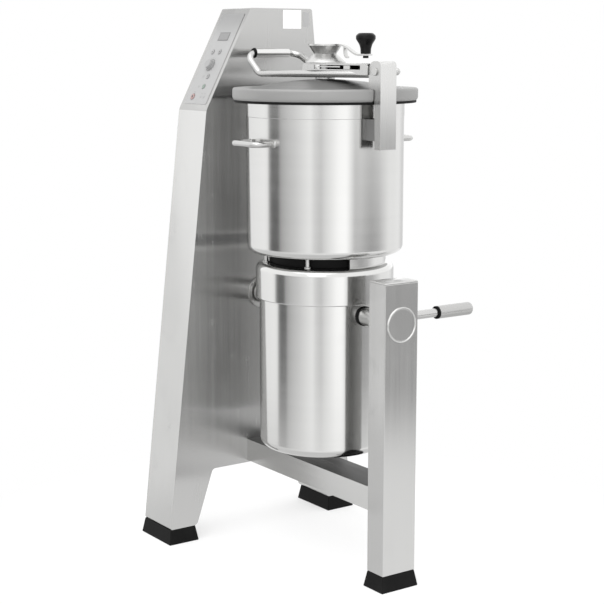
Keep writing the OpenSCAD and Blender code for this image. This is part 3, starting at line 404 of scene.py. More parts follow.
solids = {
    "bronze": {"base": (0.55, 0.42, 0.2), "roughness": 0.32, "metal": 1.0, "bump": 0.05},
    "motorIron": {"base": 0.22, "worn": 0.26, "roughness": 0.55, "grain": 300.0, "bump": 0.3, "depth": 0.0006},
    "blackRubber": {"base": 0.006, "worn": 0.009, "roughness": 0.6, "shine": 0.08, "grain": 700.0, "bump": 0.2,
                    "depth": 0.0003},
    "blackPlastic": {"base": 0.004, "worn": 0.006, "roughness": 0.3, "shine": 0.14, "grain": 600.0, "bump": 0.05},
    "greyPlastic": {"base": 0.27, "worn": 0.29, "roughness": 0.45, "grain": 800.0},
    # the panel's film is painted darker towards its top, a painted shade
    "panelFilm": {"base": 0.32, "worn": 0.33, "paintedShade": (1.31, 1.385, 0.23), "roughness": 0.45, "shine": 0.3,
                  "grain": 1400.0, "bump": 0.06},
    "displayGlass": {"base": 0.15, "worn": 0.16, "roughness": 0.12, "coat": 0.4, "bump": 0.0},
    "whiteLabel": {"base": 0.86, "worn": 0.84, "roughness": 0.4, "bump": 0.03},
    "greyLabel": {"base": 0.36, "worn": 0.39, "roughness": 0.36, "bump": 0.03},
    "greenKey": {"base": (0.20, 0.25, 0.215), "worn": (0.22, 0.27, 0.235), "roughness": 0.4},
    "redKey": {"base": (0.30, 0.19, 0.18), "worn": (0.32, 0.21, 0.20), "roughness": 0.4},
    "board": {"base": (0.02, 0.09, 0.04), "worn": (0.03, 0.11, 0.05), "roughness": 0.45},
    "electronics": {"base": 0.3, "worn": 0.33, "roughness": 0.4, "metal": 1.0, "grain": 400.0},
    # painted shade for the inside of the lid's bridge and the sheet behind its slot
    "slotShade": {"base": 0.004, "worn": 0.006, "roughness": 0.7, "shine": 0.05, "bump": 0.0},
    "printInk": {"base": 0.07, "worn": 0.08, "roughness": 0.45, "bump": 0.0},
    "faintInk": {"base": 0.20, "worn": 0.22, "roughness": 0.45, "bump": 0.0}}
finishes = {name: brushedSteel(name, look) for name, look in steels.items()}
finishes.update({name: plainSolid(name, look) for name, look in solids.items()})
finishOfSlot = {
    "stainless_sheet": "columnSteel", "stainless_polished": "spunSteel", "lid_steel": "lidSteel",
    "rod_steel": "rodSteel", "machined_steel": "machinedSteel", "grip_steel": "gripSteel", "bronze": "bronze",
    "motor_iron": "motorIron", "black_rubber": "blackRubber", "black_plastic": "blackPlastic",
    "grey_plastic": "greyPlastic", "panel_film": "panelFilm", "display": "displayGlass",
    "white_label": "whiteLabel", "grey_label": "greyLabel", "green_key": "greenKey", "red_key": "redKey",
    "board": "board", "electronics": "electronics"}
finishOfNode = {
    "base_beam": "beamSteel", "support_post": "postSteel", "post_cap": "postSteel", "pivot_cover": "postSteel",
    "lid_bracket": "bracketSteel", "lid_bridge": "bracketSteel", "lid_rim": "rimSteel",
    "lid_hub": "machinedSteel", "crank": "machinedSteel"}


def finishFor(node):
    return finishes[finishOfNode.get(node, finishOfSlot[slotOf[node]])]


report("finishes made")


# points nearer than near are one, edges under thin go, and flat and sharp are degrees between two facets
softening = {"near": 2e-6, "thin": 1e-6, "flat": 0.4, "sharp": 30}


def softened(node, look):
    # a merged copy of the solid with its flats joined, its sharp edges rounded and its curves shaded smooth
    mesh = nodes[node].data.copy()
    work = bmesh.new()
    work.from_mesh(mesh)
    bmesh.ops.remove_doubles(work, verts=work.verts, dist=softening["near"])
    bmesh.ops.dissolve_degenerate(work, edges=work.edges, dist=softening["thin"])
    bmesh.ops.dissolve_limit(work, angle_limit=math.radians(softening["flat"]), verts=work.verts, edges=work.edges)
    if look.get("shape"):
        look["shape"](work)
    work.to_mesh(mesh)
    work.free()
    piece = bpy.data.objects.new(f"{node}.finished", mesh)
    bpy.context.scene.collection.objects.link(piece)
    dress(piece, bodyOf[node], slotOf[node], finishFor(node), node)
    if look.get("second"):
        for finish in look["second"]:
            mesh.materials.append(finishes[finish])  # the faces that "where" picks out wear these
        centres = np.array([face.center[:] for face in mesh.polygons])
        mesh.polygons.foreach_set("material_index", look["where"](centres).astype(np.int32))
    for name in [a.name for a in mesh.attributes if "custom_normal" in a.name]:
        mesh.attributes.remove(mesh.attributes[name])
    mesh.shade_smooth()
    mesh.set_sharp_from_angle(angle=math.radians(softening["sharp"]))
    if look.get("edge"):
        bevel = piece.modifiers.new("roundedEdges", "BEVEL")
        bevel.width = look["edge"]
        bevel.segments = look.get("steps", 3)
        bevel.limit_method = "ANGLE"
        bevel.angle_limit = math.radians(softening["sharp"])
        bevel.harden_normals = True
        bevel.use_clamp_overlap = True


def corner(node):
    low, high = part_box(node)
    return np.array(low), np.array(high)


# the bowl and the motor stand on one upright axis, and every turned piece is worked out round it
bowlLow, bowlHigh = corner("bowl_shell")
axisX, axisY = (bowlLow[:2] + bowlHigh[:2]) / 2
columnHigh = corner("column_shell")[1]


def onAxis(z):
    return (axisX, axisY, z)


bowl = {"radius": 0.195, "wall": 0.002, "corner": 0.020, "bandRise": 0.045, "bandProud": 0.0008, "bandStep": 0.0008,
        "edgeProud": 0.0015, "edgeHeight": 0.0035, "edgeStep": 0.001,
        "chimney": 0.027, "chimneyWall": 0.003, "chimneyHeight": 0.135, "segments": 256, "boreRound": 0.0005,
        "edgeRounds": [0.0003, 0.0003, 0.0005, 0.0008, 0.0016, 0.0015], "chimneyRounds": [0.003, 0.001, 0.0005]}


def makeBowl():
    # closed loop of (r, h): up the outside with its band and rolled edge, down the inside, up and down the chimney
    r, w, h = bowl["radius"], bowl["wall"], bowlHigh[2] - bowlLow[2]
    c, tip, bend = bowl["chimney"], bowl["chimneyHeight"], bowl["corner"]
    bore, band, edge = c - bowl["chimneyWall"], r + bowl["bandProud"], r + bowl["edgeProud"]
    bandLow, edgeLow = h - bowl["bandRise"], h - bowl["edgeHeight"]
    loop = [(bore, 0), (r, 0), (r, bandLow), (band, bandLow + bowl["bandStep"]), (band, edgeLow - bowl["edgeStep"]),
            (edge, edgeLow), (edge, h), (r - w, h), (r - w, w), (c, w), (c, tip), (bore, tip)]
    radii = [bowl["boreRound"], bend, *bowl["edgeRounds"], bend - w, *bowl["chimneyRounds"]]
    shell = turned("bowlSpun", roundedPath(loop, radii, 10, True), onAxis(bowlLow[2]), "z", bowl["segments"], True)
    dress(shell, "tilting_unit", "stainless_polished", finishes["spunSteel"], "bowl_shell")


handle = {"width": 0.116, "reach": 0.0522, "rise": 0.275, "radius": 0.0072, "bend": 0.018, "sunk": 0.001,
          "footRadius": 0.0092, "footDepth": 0.005, "footSunk": 0.004}


def makeHandles():
    thin, wide, deep = handle["radius"], handle["footRadius"], handle["footDepth"]
    half = handle["width"] / 2 - thin
    wall = math.sqrt(bowl["radius"] ** 2 - half ** 2)
    reach = bowl["radius"] + handle["reach"] - thin
    z = bowlLow[2] + handle["rise"]
    inside = wall - handle["sunk"]
    for side, word in ((-1, "Front"), (1, "Rear")):
        corners = [(axisX + x, axisY + side * y, z) for x, y in
                   ((-half, inside), (-half, reach), (half, reach), (half, inside))]
        bent = rod(f"bowlHandle{word}", roundedPath(corners, [0, handle["bend"], handle["bend"], 0], 14), thin)
        dress(bent, "tilting_unit", "rod_steel", finishes["rodSteel"], "bowl_handles")
        for x in (-half, half):
            # round foot: r = wide - (wide - thin) sin t and h = deep (1 - cos t), a quarter curve out to the rod
            t = np.linspace(0, np.pi / 2, 9)
            flare = np.stack([wide - (wide - thin) * np.sin(t), deep * (1 - np.cos(t))], -1)
            profile = np.vstack([[(0, -handle["footSunk"]), (wide, -handle["footSunk"])], flare, [(0, deep)]])
            profile[:, 1] *= side
            name = f"bowlHandleFoot{word}{'Left' if x < 0 else 'Right'}"
            foot = turned(name, profile, (axisX + x, axisY + side * wall, z), "y", 48)
            dress(foot, "tilting_unit", "rod_steel", finishes["rodSteel"], "bowl_handles")


motor = {"radius": 0.164, "wall": 0.003, "corner": 0.022, "gap": 0.0003, "capRadius": 0.173, "capCorner": 0.018,
         "capWall": 0.003, "capLip": 0.014, "neck": 0.0463, "segments": 256, "casingRound": 0.0005,
         "capBoreRound": 0.0006, "capFootRound": 0.0025, "capEdgeRound": 0.001}


def makeMotor():
    low, high = corner("motor_casing")
    r, w, h, edge = motor["radius"], motor["wall"], high[2] - low[2], motor["casingRound"]
    loop = [(0, 0), (r, 0), (r, h), (r - w, h), (r - w, w), (0, w)]
    radii = [0, motor["corner"], edge, edge, motor["corner"] - w, 0]
    casing = turned("motorCasingDrawn", roundedPath(loop, radii, 12), onAxis(low[2]), "z", motor["segments"])
    dress(casing, "tilting_unit", "stainless_polished", finishes["spunSteel"], "motor_casing")
    low, high = corner("motor_cap")
    c, w, h, neck = motor["capRadius"], motor["capWall"], high[2] - low[2], motor["neck"]
    bore, lip, bend, edge = r + motor["gap"], motor["capLip"], motor["capCorner"], motor["capEdgeRound"]
    loop = [(bore, 0), (c, 0), (c, h), (neck, h), (neck, h - w), (c - w, h - w), (c - w, lip), (bore, lip)]
    radii = [motor["capBoreRound"], motor["capFootRound"], bend, edge, edge, bend - w, edge, motor["capBoreRound"]]
    cap = turned("motorCapSpun", roundedPath(loop, radii, 12, True), onAxis(low[2]), "z", motor["segments"], True)
    dress(cap, "tilting_unit", "stainless_polished", finishes["spunSteel"], "motor_cap")


lid = {"domeRadius": 0.187, "domeRise": 0.022, "sheet": 0.002, "stem": 0.00805, "flange": 0.013,
       "shoulder": 0.006, "shoulderOut": 0.0016, "shoulderIn": 0.0034, "segments": 256,
       "shoulderRound": 0.0035, "flangeRound": 0.0005, "insideRound": 0.0015, "sealIn": 0.184, "sealOut": 0.198,
       "sealRounds": [0.001, 0.001, 0.001, 0.001], "lipIn": 0.203, "lipOut": 0.2245, "lipDrop": 0.0045,
       "lipRise": 0.004, "lipRounds": [0.0008, 0.0008, 0.0005, 0.0005]}


def makeLid():
    low, high = corner("lid_dome")
    rimLow, rimHigh = corner("lid_rim")
    wide, t, out = lid["domeRadius"], lid["sheet"], lid["domeRadius"] + lid["flange"]
    # h = rise (1 - r^2 / wide^2) above the rim's top, out to the shoulder
    r = np.linspace(lid["stem"], wide - lid["shoulder"], 40)
    top = rimHigh[2] - low[2] + lid["domeRise"] * (1 - (r / wide) ** 2)
    edge = roundedPath([(r[-1], top[-1]), (wide, top[-1] - lid["shoulderOut"]), (wide, t), (out, t), (out, 0),
                        (wide - t, 0), (wide - t, top[-1] - lid["shoulderIn"]), (r[-1] - t, top[-1] - t)],
                       [0, lid["shoulderRound"], *[lid["flangeRound"]] * 4, lid["insideRound"], 0], 8)
    under = np.stack([r[-2::-1], top[-2::-1] - t], -1)
    profile = np.vstack([np.stack([r, top], -1)[:-1], edge, under])
    dome = turned("lidDomeSpun", profile, onAxis(low[2]), "z", lid["segments"], True)
    dress(dome, "lid", "lid_steel", finishes["lidSteel"], "lid_dome")
    lip = collar("lidSealLip", lid["lipIn"], lid["lipOut"], -lid["lipDrop"], lid["lipRise"], lid["lipRounds"],
                 onAxis(rimLow[2]), "z", lid["segments"], 5)
    dress(lip, "lid", "black_rubber", finishes["blackRubber"], "lid_seal")
    low, high = corner("lid_seal")
    seal = collar("lidSealRing", lid["sealIn"], lid["sealOut"], low[2], high[2], lid["sealRounds"], onAxis(0),
                  "z", lid["segments"], 5)
    dress(seal, "lid", "black_rubber", finishes["blackRubber"], "lid_seal")


# places from the bowl's axis: the roots at the hinge, the elbows where the frame starts to widen, the grip's heads
arm = {"radius": 0.0083, "bend": 0.026, "hingeX": 0.230, "hingeDrop": 0.042, "rootIn": 0.010, "rootDrop": 0.0065,
       "near": 0.0118, "elbowIn": 0.043, "elbowDrop": 0.009, "far": 0.0673, "rearElbow": 0.74, "gripX": 0.235,
       "head": 0.0803, "pinGap": 0.0061, "barrel": 0.012, "barrelHalf": 0.0202,
       "barrelRounds": [0.0005, 0.001, 0.001, 0.0005]}
sleeve = {"radius": 0.0109, "wall": 0.0012, "bushIn": 0.010, "bushGap": 0.0001,
          "washer": 0.0134, "washerTip": 0.0114, "washerFrom": 0.0055, "washerGap": 0.0002,
          "tubeRounds": [0.0004, 0.0011, 0.0011, 0.0004], "bushRounds": [0.0004, 0.0008, 0.0008, 0.0004],
          "washerRounds": [0.0004, 0.0012, 0.0008, 0.0004]}


def makeLidHandle():
    low, high = corner("grip_sleeve")
    barZ = (low[2] + high[2]) / 2
    hingeZ = barZ - arm["hingeDrop"]
    root = np.array([arm["hingeX"] - arm["rootIn"], -arm["near"], hingeZ - arm["rootDrop"]])
    elbow = np.array([-arm["gripX"] + arm["elbowIn"], -arm["far"], hingeZ - arm["elbowDrop"]])
    # the rear run leaves the front run's mirror line before its elbow
    rearElbow = (root + arm["rearElbow"] * (elbow - root)) * (1, -1, 1)
    corners = np.array([root, elbow, (-arm["gripX"], -arm["head"], barZ), (-arm["gripX"], arm["head"], barZ),
                        rearElbow, root * (1, -1, 1)]) + (axisX, axisY, 0)
    path = roundedPath(corners, [0] + [arm["bend"]] * 4 + [0], 14)
    dress(rod("lidHandleRod", path, arm["radius"], 40), "lid", "rod_steel", finishes["rodSteel"], "lid_arm")
    half = arm["barrelHalf"]
    barrel = collar("lidHingeBarrel", arm["pinGap"], arm["barrel"], -half, half, arm["barrelRounds"],
                    (axisX + arm["hingeX"], axisY, hingeZ), "y", 64)
    dress(barrel, "lid", "rod_steel", finishes["rodSteel"], "lid_arm")

    half, middle = (high[1] - low[1]) / 2, (axisX - arm["gripX"], axisY, barZ)
    inner = sleeve["radius"] - sleeve["wall"]
    tube = collar("gripSleeveTube", inner, sleeve["radius"], -half, half, sleeve["tubeRounds"], middle, "y", 96)
    dress(tube, "handle_sleeve", "rod_steel", finishes["sleeveSteel"], "grip_sleeve")
    end = half - sleeve["bushIn"]
    bush = collar("gripSleeveBush", arm["radius"] + sleeve["bushGap"], inner, -end, end, sleeve["bushRounds"],
                  middle, "y", 64, 4)
    dress(bush, "handle_sleeve", "black_rubber", finishes["blackRubber"], "grip_sleeve")
    bore, begin, end = arm["radius"] + sleeve["washerGap"], -half - sleeve["washerFrom"], -half - sleeve["washerGap"]
    loop = [(bore, begin), (sleeve["washerTip"], begin), (sleeve["washer"], end), (bore, end)]
    washer = turned("gripSleeveWasher", roundedPath(loop, sleeve["washerRounds"], 6, True), middle, "y", 96, True)
    dress(washer, "handle_sleeve", "black_rubber", finishes["blackRubber"], "grip_sleeve")


# the knob's outline from its foot up: radius, share of the height, and how far that corner is rounded
knob = {"bore": 0.00405, "crown": 0.012,
        "outline": [(0.0125, 0, 0.0015), (0.013, 0.24, 0.02), (0.0155, 0.44, 0.02), (0.0215, 0.63, 0.02),
                    (0.024, 0.72, 0.006), (0.024, 0.88, 0.007), (0.017, 1, 0.009), (0, 1, 0)]}


def makeCrankKnob():
    low, high = corner("crank_knob")
    centre, h = (low + high) / 2, high[2] - low[2]
    outline = np.array([(knob["bore"], 0, 0)] + knob["outline"])
    profile = roundedPath(outline[:, :2] * (1, h), outline[:, 2], 10)
    profile = np.vstack([[(0, h - knob["crown"]), (knob["bore"], h - knob["crown"])], profile])
    piece = turned("crankKnobMoulded", profile, (centre[0], centre[1], low[2]), "z", 96)
    dress(piece, "knob", "black_plastic", finishes["blackPlastic"], "crank_knob")


lever = {"rod": 0.011, "rodShort": 0.013, "grip": 0.016, "gripFoot": 0.0015, "gripEnd": 0.008, "gripCap": 0.012,
         "gap": 0.0001, "collar": 0.016, "collarRounds": [0.0004, 0.001, 0.001, 0.0004]}


def makeLever():
    low, high = corner("lever_grip")
    centre = (low + high) / 2
    along = np.linspace(corner("tilt_lever")[0][1], high[1] - lever["rodShort"], 9)
    path = np.stack([np.full(9, centre[0]), along, np.full(9, centre[2])], -1)
    straight = rod("tiltLeverRod", path, lever["rod"], 48)
    dress(straight, "tilting_unit", "rod_steel", finishes["rodSteel"], "tilt_lever")
    length, bore, g = high[1] - low[1], lever["rod"] + lever["gap"], lever["grip"]
    radii = [0, lever["gripFoot"], lever["gripEnd"], 0]
    outside = roundedPath([(bore, 0), (g, 0), (g, length), (0, length)], radii, 12)
    profile = np.vstack([[(0, length - lever["gripCap"]), (bore, length - lever["gripCap"])], outside])
    grip = turned("tiltLeverGrip", profile, (centre[0], low[1], centre[2]), "y", 96)
    dress(grip, "tilting_unit", "grip_steel", finishes["gripSteel"], "lever_grip")
    low, high = corner("lever_collar")
    band = collar("tiltLeverCollar", bore, lever["collar"], 0, high[1] - low[1], lever["collarRounds"],
                  (centre[0], low[1], centre[2]), "y", 96)
    dress(band, "tilting_unit", "black_rubber", finishes["blackRubber"], "lever_collar")


# each sector: its first and last degree, its depth, and its share of the solid's height
lock = {"radius": 0.141, "block": (-13, 7, 0.014, 1.0), "lip": (6, 52, 0.012, 0.8)}


def makeLockBlock():
    # curved block between the motor's cap and the bowl, and the lower lip that runs on from it: two ring sectors
    low, high = corner("bowl_lock_block")

    def place(x, y, h):
        return np.stack([axisX + x, axisY + y, np.full_like(x, low[2] + h)], -1)

    for name in ("block", "lip"):
        begin, end, deep, share = lock[name]
        a = np.radians(np.linspace(begin, end, 25))
        spoke = np.stack([np.cos(a), np.sin(a)], -1)
        outline = np.vstack([(lock["radius"] + deep) * spoke, lock["radius"] * spoke[::-1]])
        piece = prisms(f"bowlLock{name.title()}", [outline], place, (high[2] - low[2]) * share)
        dress(piece, "tilting_unit", slotOf["bowl_lock_block"], finishes["spunSteel"], "bowl_lock_block")


trunnionSeal = {"inner": 0.0222, "outer": 0.0242, "inside": 0.008, "proud": 0.005,
                "rounds": [0.0004, 0.0004, 0.0008, 0.0004]}


def makeTrunnionSeals():
    low, high = corner("trunnion_seals")
    for side, word in ((-1, "Left"), (1, "Right")):
        begin = side * (motor["radius"] - trunnionSeal["inside"])
        end = side * (motor["radius"] + trunnionSeal["proud"])
        ring = collar(f"trunnionSeal{word}", trunnionSeal["inner"], trunnionSeal["outer"], begin, end,
                      trunnionSeal["rounds"], (axisX, axisY, (low[2] + high[2]) / 2), "x", 96, 5)
        dress(ring, "tilting_unit", "black_rubber", finishes["blackRubber"], "trunnion_seals")


# bar and block: the middle's place from the axis, its depth under the top, then length, height and thickness
bridge = {"slotTop": 0.004, "slotFoot": 0.0145, "shadeSheetIn": 0.0034, "shadeSheetLong": 0.2, "shadeSheetThick": 0.0006,
          "front": 0.019, "latchBar": (0.043, 0.008, 0.088, 0.003, 0.001),
          "latchBlock": (0.1155, 0.009, 0.025, 0.0085, 0.002)}


def makeBridgeInside():
    # a dark sheet of painted shade behind the front flange's slot, with the bright latch bar and the block that show
    # in the slot
    low, high = corner("lid_bridge")

    def upright(y):
        return lambda x, z, h: np.stack([axisX + x, y + 0 * x - h, z], -1)

    slotLow, slotHigh = high[2] - bridge["slotFoot"], high[2] - bridge["slotTop"]
    outline = bar((low[0] + high[0]) / 2 - axisX, (slotLow + slotHigh) / 2, bridge["shadeSheetLong"], slotHigh - slotLow)
    # the sheet is painted shade, black where the slot shows only shade
    shadeSheet = prisms("bridgeShadeSheet", [outline], upright(high[1] - bridge["shadeSheetIn"]), bridge["shadeSheetThick"])
    dress(shadeSheet, "lid", slotOf["lid_bridge"], finishes["slotShade"])
    for key, finish in (("latchBar", "rodSteel"), ("latchBlock", "machinedSteel")):
        x, down, long, tall, thick = bridge[key]
        name = f"bridge{key[0].upper()}{key[1:]}"
        piece = prisms(name, [bar(x, high[2] - down, long, tall)], upright(axisY - bridge["front"]), thick)
        dress(piece, "lid", slotOf["lid_bridge"], finishes[finish])


pivotDisc = {"radius": 0.044, "bead": 0.0035, "beadWidth": 0.006, "fullness": 0.7, "centre": 0.0012, "step": 0.0008}


def makePivotDisc():
    # r = R - width t and h = bead sin(pi t) ^ fullness on the raised ring, and the centre inside it lies lower
    low, high = corner("pivot_cover")
    wide, width, flat = pivotDisc["radius"], pivotDisc["beadWidth"], pivotDisc["centre"]
    t = np.linspace(0, 1, 17)
    rise = np.maximum(pivotDisc["bead"] * np.sin(np.pi * t) ** pivotDisc["fullness"], flat * t)
    ring = np.stack([wide - width * t, rise], -1)
    profile = np.vstack([[(0, 0), (wide, 0)], ring[1:], [(wide - width - pivotDisc["step"], flat), (0, flat)]])
    centre = (low + high) / 2
    pressed = turned("pivotDiscPressed", profile, (low[0], centre[1], centre[2]), "x", 128)
    dress(pressed, "stand", "stainless_sheet", finishes["postSteel"], "pivot_cover")


# degrees and metres: the plate's slope, the column's lean, where both begin, and the heights of film, keys and ink
panel = {"tilt": 27.9, "lean": 6.48, "front": 0.291, "rise": 0.260, "thick": 0.138, "foot": 0.040, "film": 0.001,
         "keyTop": 0.0028, "ink": 0.00006}
# from here on millimetres across and up the slope: a key's middle and radius, then the rings round keys and dial
panelKeys = {"minus_key": (-20, 166, 6), "plus_key": (14, 166, 6), "pulse_key": (8, 95, 6), "start_key": (8, 66, 6),
             "stop_key": (-24, 36, 8)}
keyRing = {"out": 1.6, "line": 0.7}
dial = {"middle": (-4, 128), "ring": (17.4, 16.2), "marks": 11, "first": 225, "between": 27,
        "markFrom": 19.5, "markTo": 22.5, "markHalf": 0.4}
display = {"wide": 46, "high": 21, "pocket": (62, 30), "middle": (2, 211), "coverOut": 1.4, "coverRise": 0.0001,
           "frameOut": 2.4, "frameIn": 0.6, "frameRise": 0.0006}
# printed bars: middle, width and height
plateMarks = [(-18, 95, 1.2, 7), (-14.5, 93.5, 1.2, 4), (-11, 96, 1.2, 5), (-18, 66, 1.2, 7), (-14.5, 64.5, 1.2, 4),
              (-11, 67, 1.2, 5), (14, 46, 7, 1.1), (30, 46, 7, 1.1), (-24, 50, 8, 1.1)]
keySigns = {
    "minus_key": [(-20, 166, 6.5, 1.8)],
    "plus_key": [(14, 166, 6.5, 1.8), (14, 168.1, 1.8, 2.4), (14, 163.9, 1.8, 2.4)],
    "pulse_key": [(5.6, 94, 1.3, 4), (8, 97, 4.6, 1.3), (10.4, 94, 1.3, 4)],
    "start_key": [(8, 66, 1.9, 6.5)],
    "stop_key": [(-24, 36, 6.5, 6.5)]}


def onPanel(x, s, h):
    # x across and s up the sloping face, h out of it: y = y0 + s sin t - h cos t, z = z0 + s cos t + h sin t
    t = math.radians(panel["tilt"])
    z0 = max(columnHigh[2], corner("column_side_cover")[1][2]) - panel["rise"]
    y0 = axisY - panel["front"] + math.tan(math.radians(panel["lean"])) * (z0 - panel["foot"])
    x, s = np.asarray(x, float) / 1000, np.asarray(s, float) / 1000
    mid = columnHigh[0] - panel["thick"] / 2
    return np.stack([mid + x, y0 + s * math.sin(t) - h * math.cos(t), z0 + s * math.cos(t) + h * math.sin(t)], -1)


def raised(by):
    return lambda x, s, h: onPanel(x, s, h + by)


def disc(x, s, r, count):
    a = np.linspace(0, 2 * np.pi, count, endpoint=False)
    return np.stack([x + r * np.cos(a), s + r * np.sin(a)], -1)


def bar(x, s, w, h):
    return [(x - w / 2, s - h / 2), (x + w / 2, s - h / 2), (x + w / 2, s + h / 2), (x - w / 2, s + h / 2)]


def makePanelPrint():
    film, ink, middle = panel["film"], panel["ink"], np.array(dial["middle"])
    rings = [(disc(x, s, r + keyRing["out"], 64), disc(x, s, r + keyRing["out"] - keyRing["line"], 64))
             for x, s, r in panelKeys.values()]
    rings.append([disc(*middle, r, 96) for r in dial["ring"]])
    dress(bands("panelRings", rings, onPanel, ink, film), "stand", "panel_film", finishes["printInk"])
    marks = []
    for k in range(dial["marks"]):
        a = math.radians(dial["first"] - dial["between"] * k)
        spoke, across = np.array([math.cos(a), math.sin(a)]), np.array([-math.sin(a), math.cos(a)]) * dial["markHalf"]
        near, far = middle + spoke * dial["markFrom"], middle + spoke * dial["markTo"]
        marks.append([near - across, far - across, far + across, near + across])
    marks += [bar(*mark) for mark in plateMarks]
    dress(prisms("panelMarks", marks, raised(film), ink), "stand", "panel_film", finishes["faintInk"])
    for node, bars in keySigns.items():
        sign = prisms(f"{node}.sign", [bar(*one) for one in bars], raised(panel["keyTop"]), ink)
        dress(sign, bodyOf[node], slotOf[node], finishes["printInk"])

    def window(wider, w=display["wide"], h=display["high"]):
        return bar(*display["middle"], w + wider, h + wider)

    surround = (window(display["coverOut"], *display["pocket"]), window(0))
    cover = bands("displaySurround", [surround], onPanel, film + display["coverRise"])
    dress(cover, "stand", "panel_film", finishes["panelFilm"])
    frameBand = (window(display["frameOut"]), window(-display["frameIn"]))
    bezel = bands("displayBezel", [frameBand], onPanel, display["frameRise"], film)
    dress(bezel, "stand", "display", finishes["printInk"])


# how near to a plane or an edge of the solid a facet lies to count as part of it
facets = {"columnFace": 0.0008, "slope": 0.0012, "beamTop": 0.0008, "bridgeWall": 0.002, "bridgeEnd": 0.001,
          "bracketWall": 0.0015, "bracketFoot": 0.1, "nutRadius": 0.013, "nutBelow": 0.003}


def columnFace(centres):
    # 1 for the wide face behind the bowl, which wears painted shade for the bowl's dark reflection, 2 for the slope
    # that carries the panel, and 0 elsewhere
    t = math.radians(panel["tilt"])
    out = np.array([0, -math.cos(t), math.sin(t)])
    slope = np.abs((centres - onPanel(0, 0, 0)) @ out) < facets["slope"]
    return np.where(centres[:, 0] > columnHigh[0] - facets["columnFace"], 1, np.where(slope, 2, 0))


def beamTop(centres):
    # the beam's upper face, which wears painted shade for the casing's shadow and dark reflection
    return centres[:, 2] > corner("base_beam")[1][2] - facets["beamTop"]


def insideBridge(centres):
    # the faces inside the folded channel, which wear painted shade
    low, high = corner("lid_bridge")
    wall, across = facets["bridgeWall"], np.abs(centres[:, 1] - (low[1] + high[1]) / 2)
    within = (across < (high[1] - low[1]) / 2 - wall) & (centres[:, 2] < high[2] - wall)
    return within & (centres[:, 0] < high[0] - facets["bridgeEnd"])


def insideBracket(centres):
    # the foot between the bracket's two side walls, which wears painted shade for the walls' shade
    low, high = corner("lid_bracket")
    wall, foot = facets["bracketWall"], low[2] + facets["bracketFoot"]
    within = np.abs(centres[:, 1] - axisY) < (high[1] - low[1]) / 2 - wall
    return within & (centres[:, 0] < high[0] - wall) & (centres[:, 2] < foot)


def crankNut(centres):
    # the nut under the crank's knob
    low, high = corner("crank_knob")
    away = np.linalg.norm(centres[:, :2] - (low + high)[:2] / 2, axis=1)
    return (away < facets["nutRadius"]) & (centres[:, 2] < low[2] - facets["nutBelow"])


def moved(work, change):
    points = np.array([v.co[:] for v in work.verts])
    for vertex, place in zip(work.verts, change(points)):
        vertex.co = place.tolist()


flange = {"bore": 0.0223, "narrow": 0.62, "flat": 0.5, "behind": 0.0004}


def shapeFlange(work):
    # where it stands out of the column, r becomes bore + (r - bore) narrow, and its depth is multiplied by flat
    middle = (sum(corner("column_bearing")) / 2)[1:]

    def change(points):
        proud = points[:, 0] > columnHigh[0] - flange["behind"]
        spoke = points[:, 1:] - middle
        r = np.linalg.norm(spoke, axis=1)
        narrowed = (flange["bore"] + (r - flange["bore"]) * flange["narrow"]) / np.maximum(r, 1e-6)
        factor = np.where(proud & (r > flange["bore"]), narrowed, 1.0)
        points[:, 1:] = middle + spoke * factor[:, None]
        flat = columnHigh[0] + (points[:, 0] - columnHigh[0]) * flange["flat"]
        points[:, 0] = np.where(proud, flat, points[:, 0])
        return points

    moved(work, change)


def shapeDisplay(work):
    # the window's own glass is smaller than its pocket, which the film covers
    t = math.radians(panel["tilt"])
    up = np.array([0, math.sin(t), math.cos(t)])
    middle = sum(corner("display_window")) / 2

    def change(points):
        rows = points - middle
        points = points + up * (rows @ up)[:, None] * (display["high"] / display["pocket"][1] - 1)
        points[:, 0] += rows[:, 0] * (display["wide"] / display["pocket"][0] - 1)
        return points

    moved(work, change)


rim = {"from": 0.2, "narrow": 0.92, "topFrom": 0.19, "lift": 0.002}


def shapeRim(work):
    # beyond a radius of from, r becomes from + (r - from) narrow, and the top rises by lift
    low, high = corner("lid_rim")

    def change(points):
        spoke = points[:, :2] - (axisX, axisY)
        r = np.linalg.norm(spoke, axis=1)
        narrowed = (rim["from"] + (r - rim["from"]) * rim["narrow"]) / np.maximum(r, 1e-6)
        points[:, :2] = (axisX, axisY) + spoke * np.where(r > rim["from"], narrowed, 1.0)[:, None]
        onTop = (points[:, 2] > (low[2] + high[2]) / 2) & (r > rim["topFrom"])
        points[:, 2] += np.where(onTop, rim["lift"], 0.0)
        return points

    moved(work, change)


# along the crank from the hub's middle: where the strip starts and bends, how far it falls, and its folded hook
strip = {"start": 0.042, "short": 0.014, "bend": 0.053, "fall": 0.024, "below": 0.022, "cuts": 15,
         "hookFrom": 0.048, "hookTo": 0.075, "hookHalf": 0.004, "hookNear": 0.0002, "hookWider": 1.3}


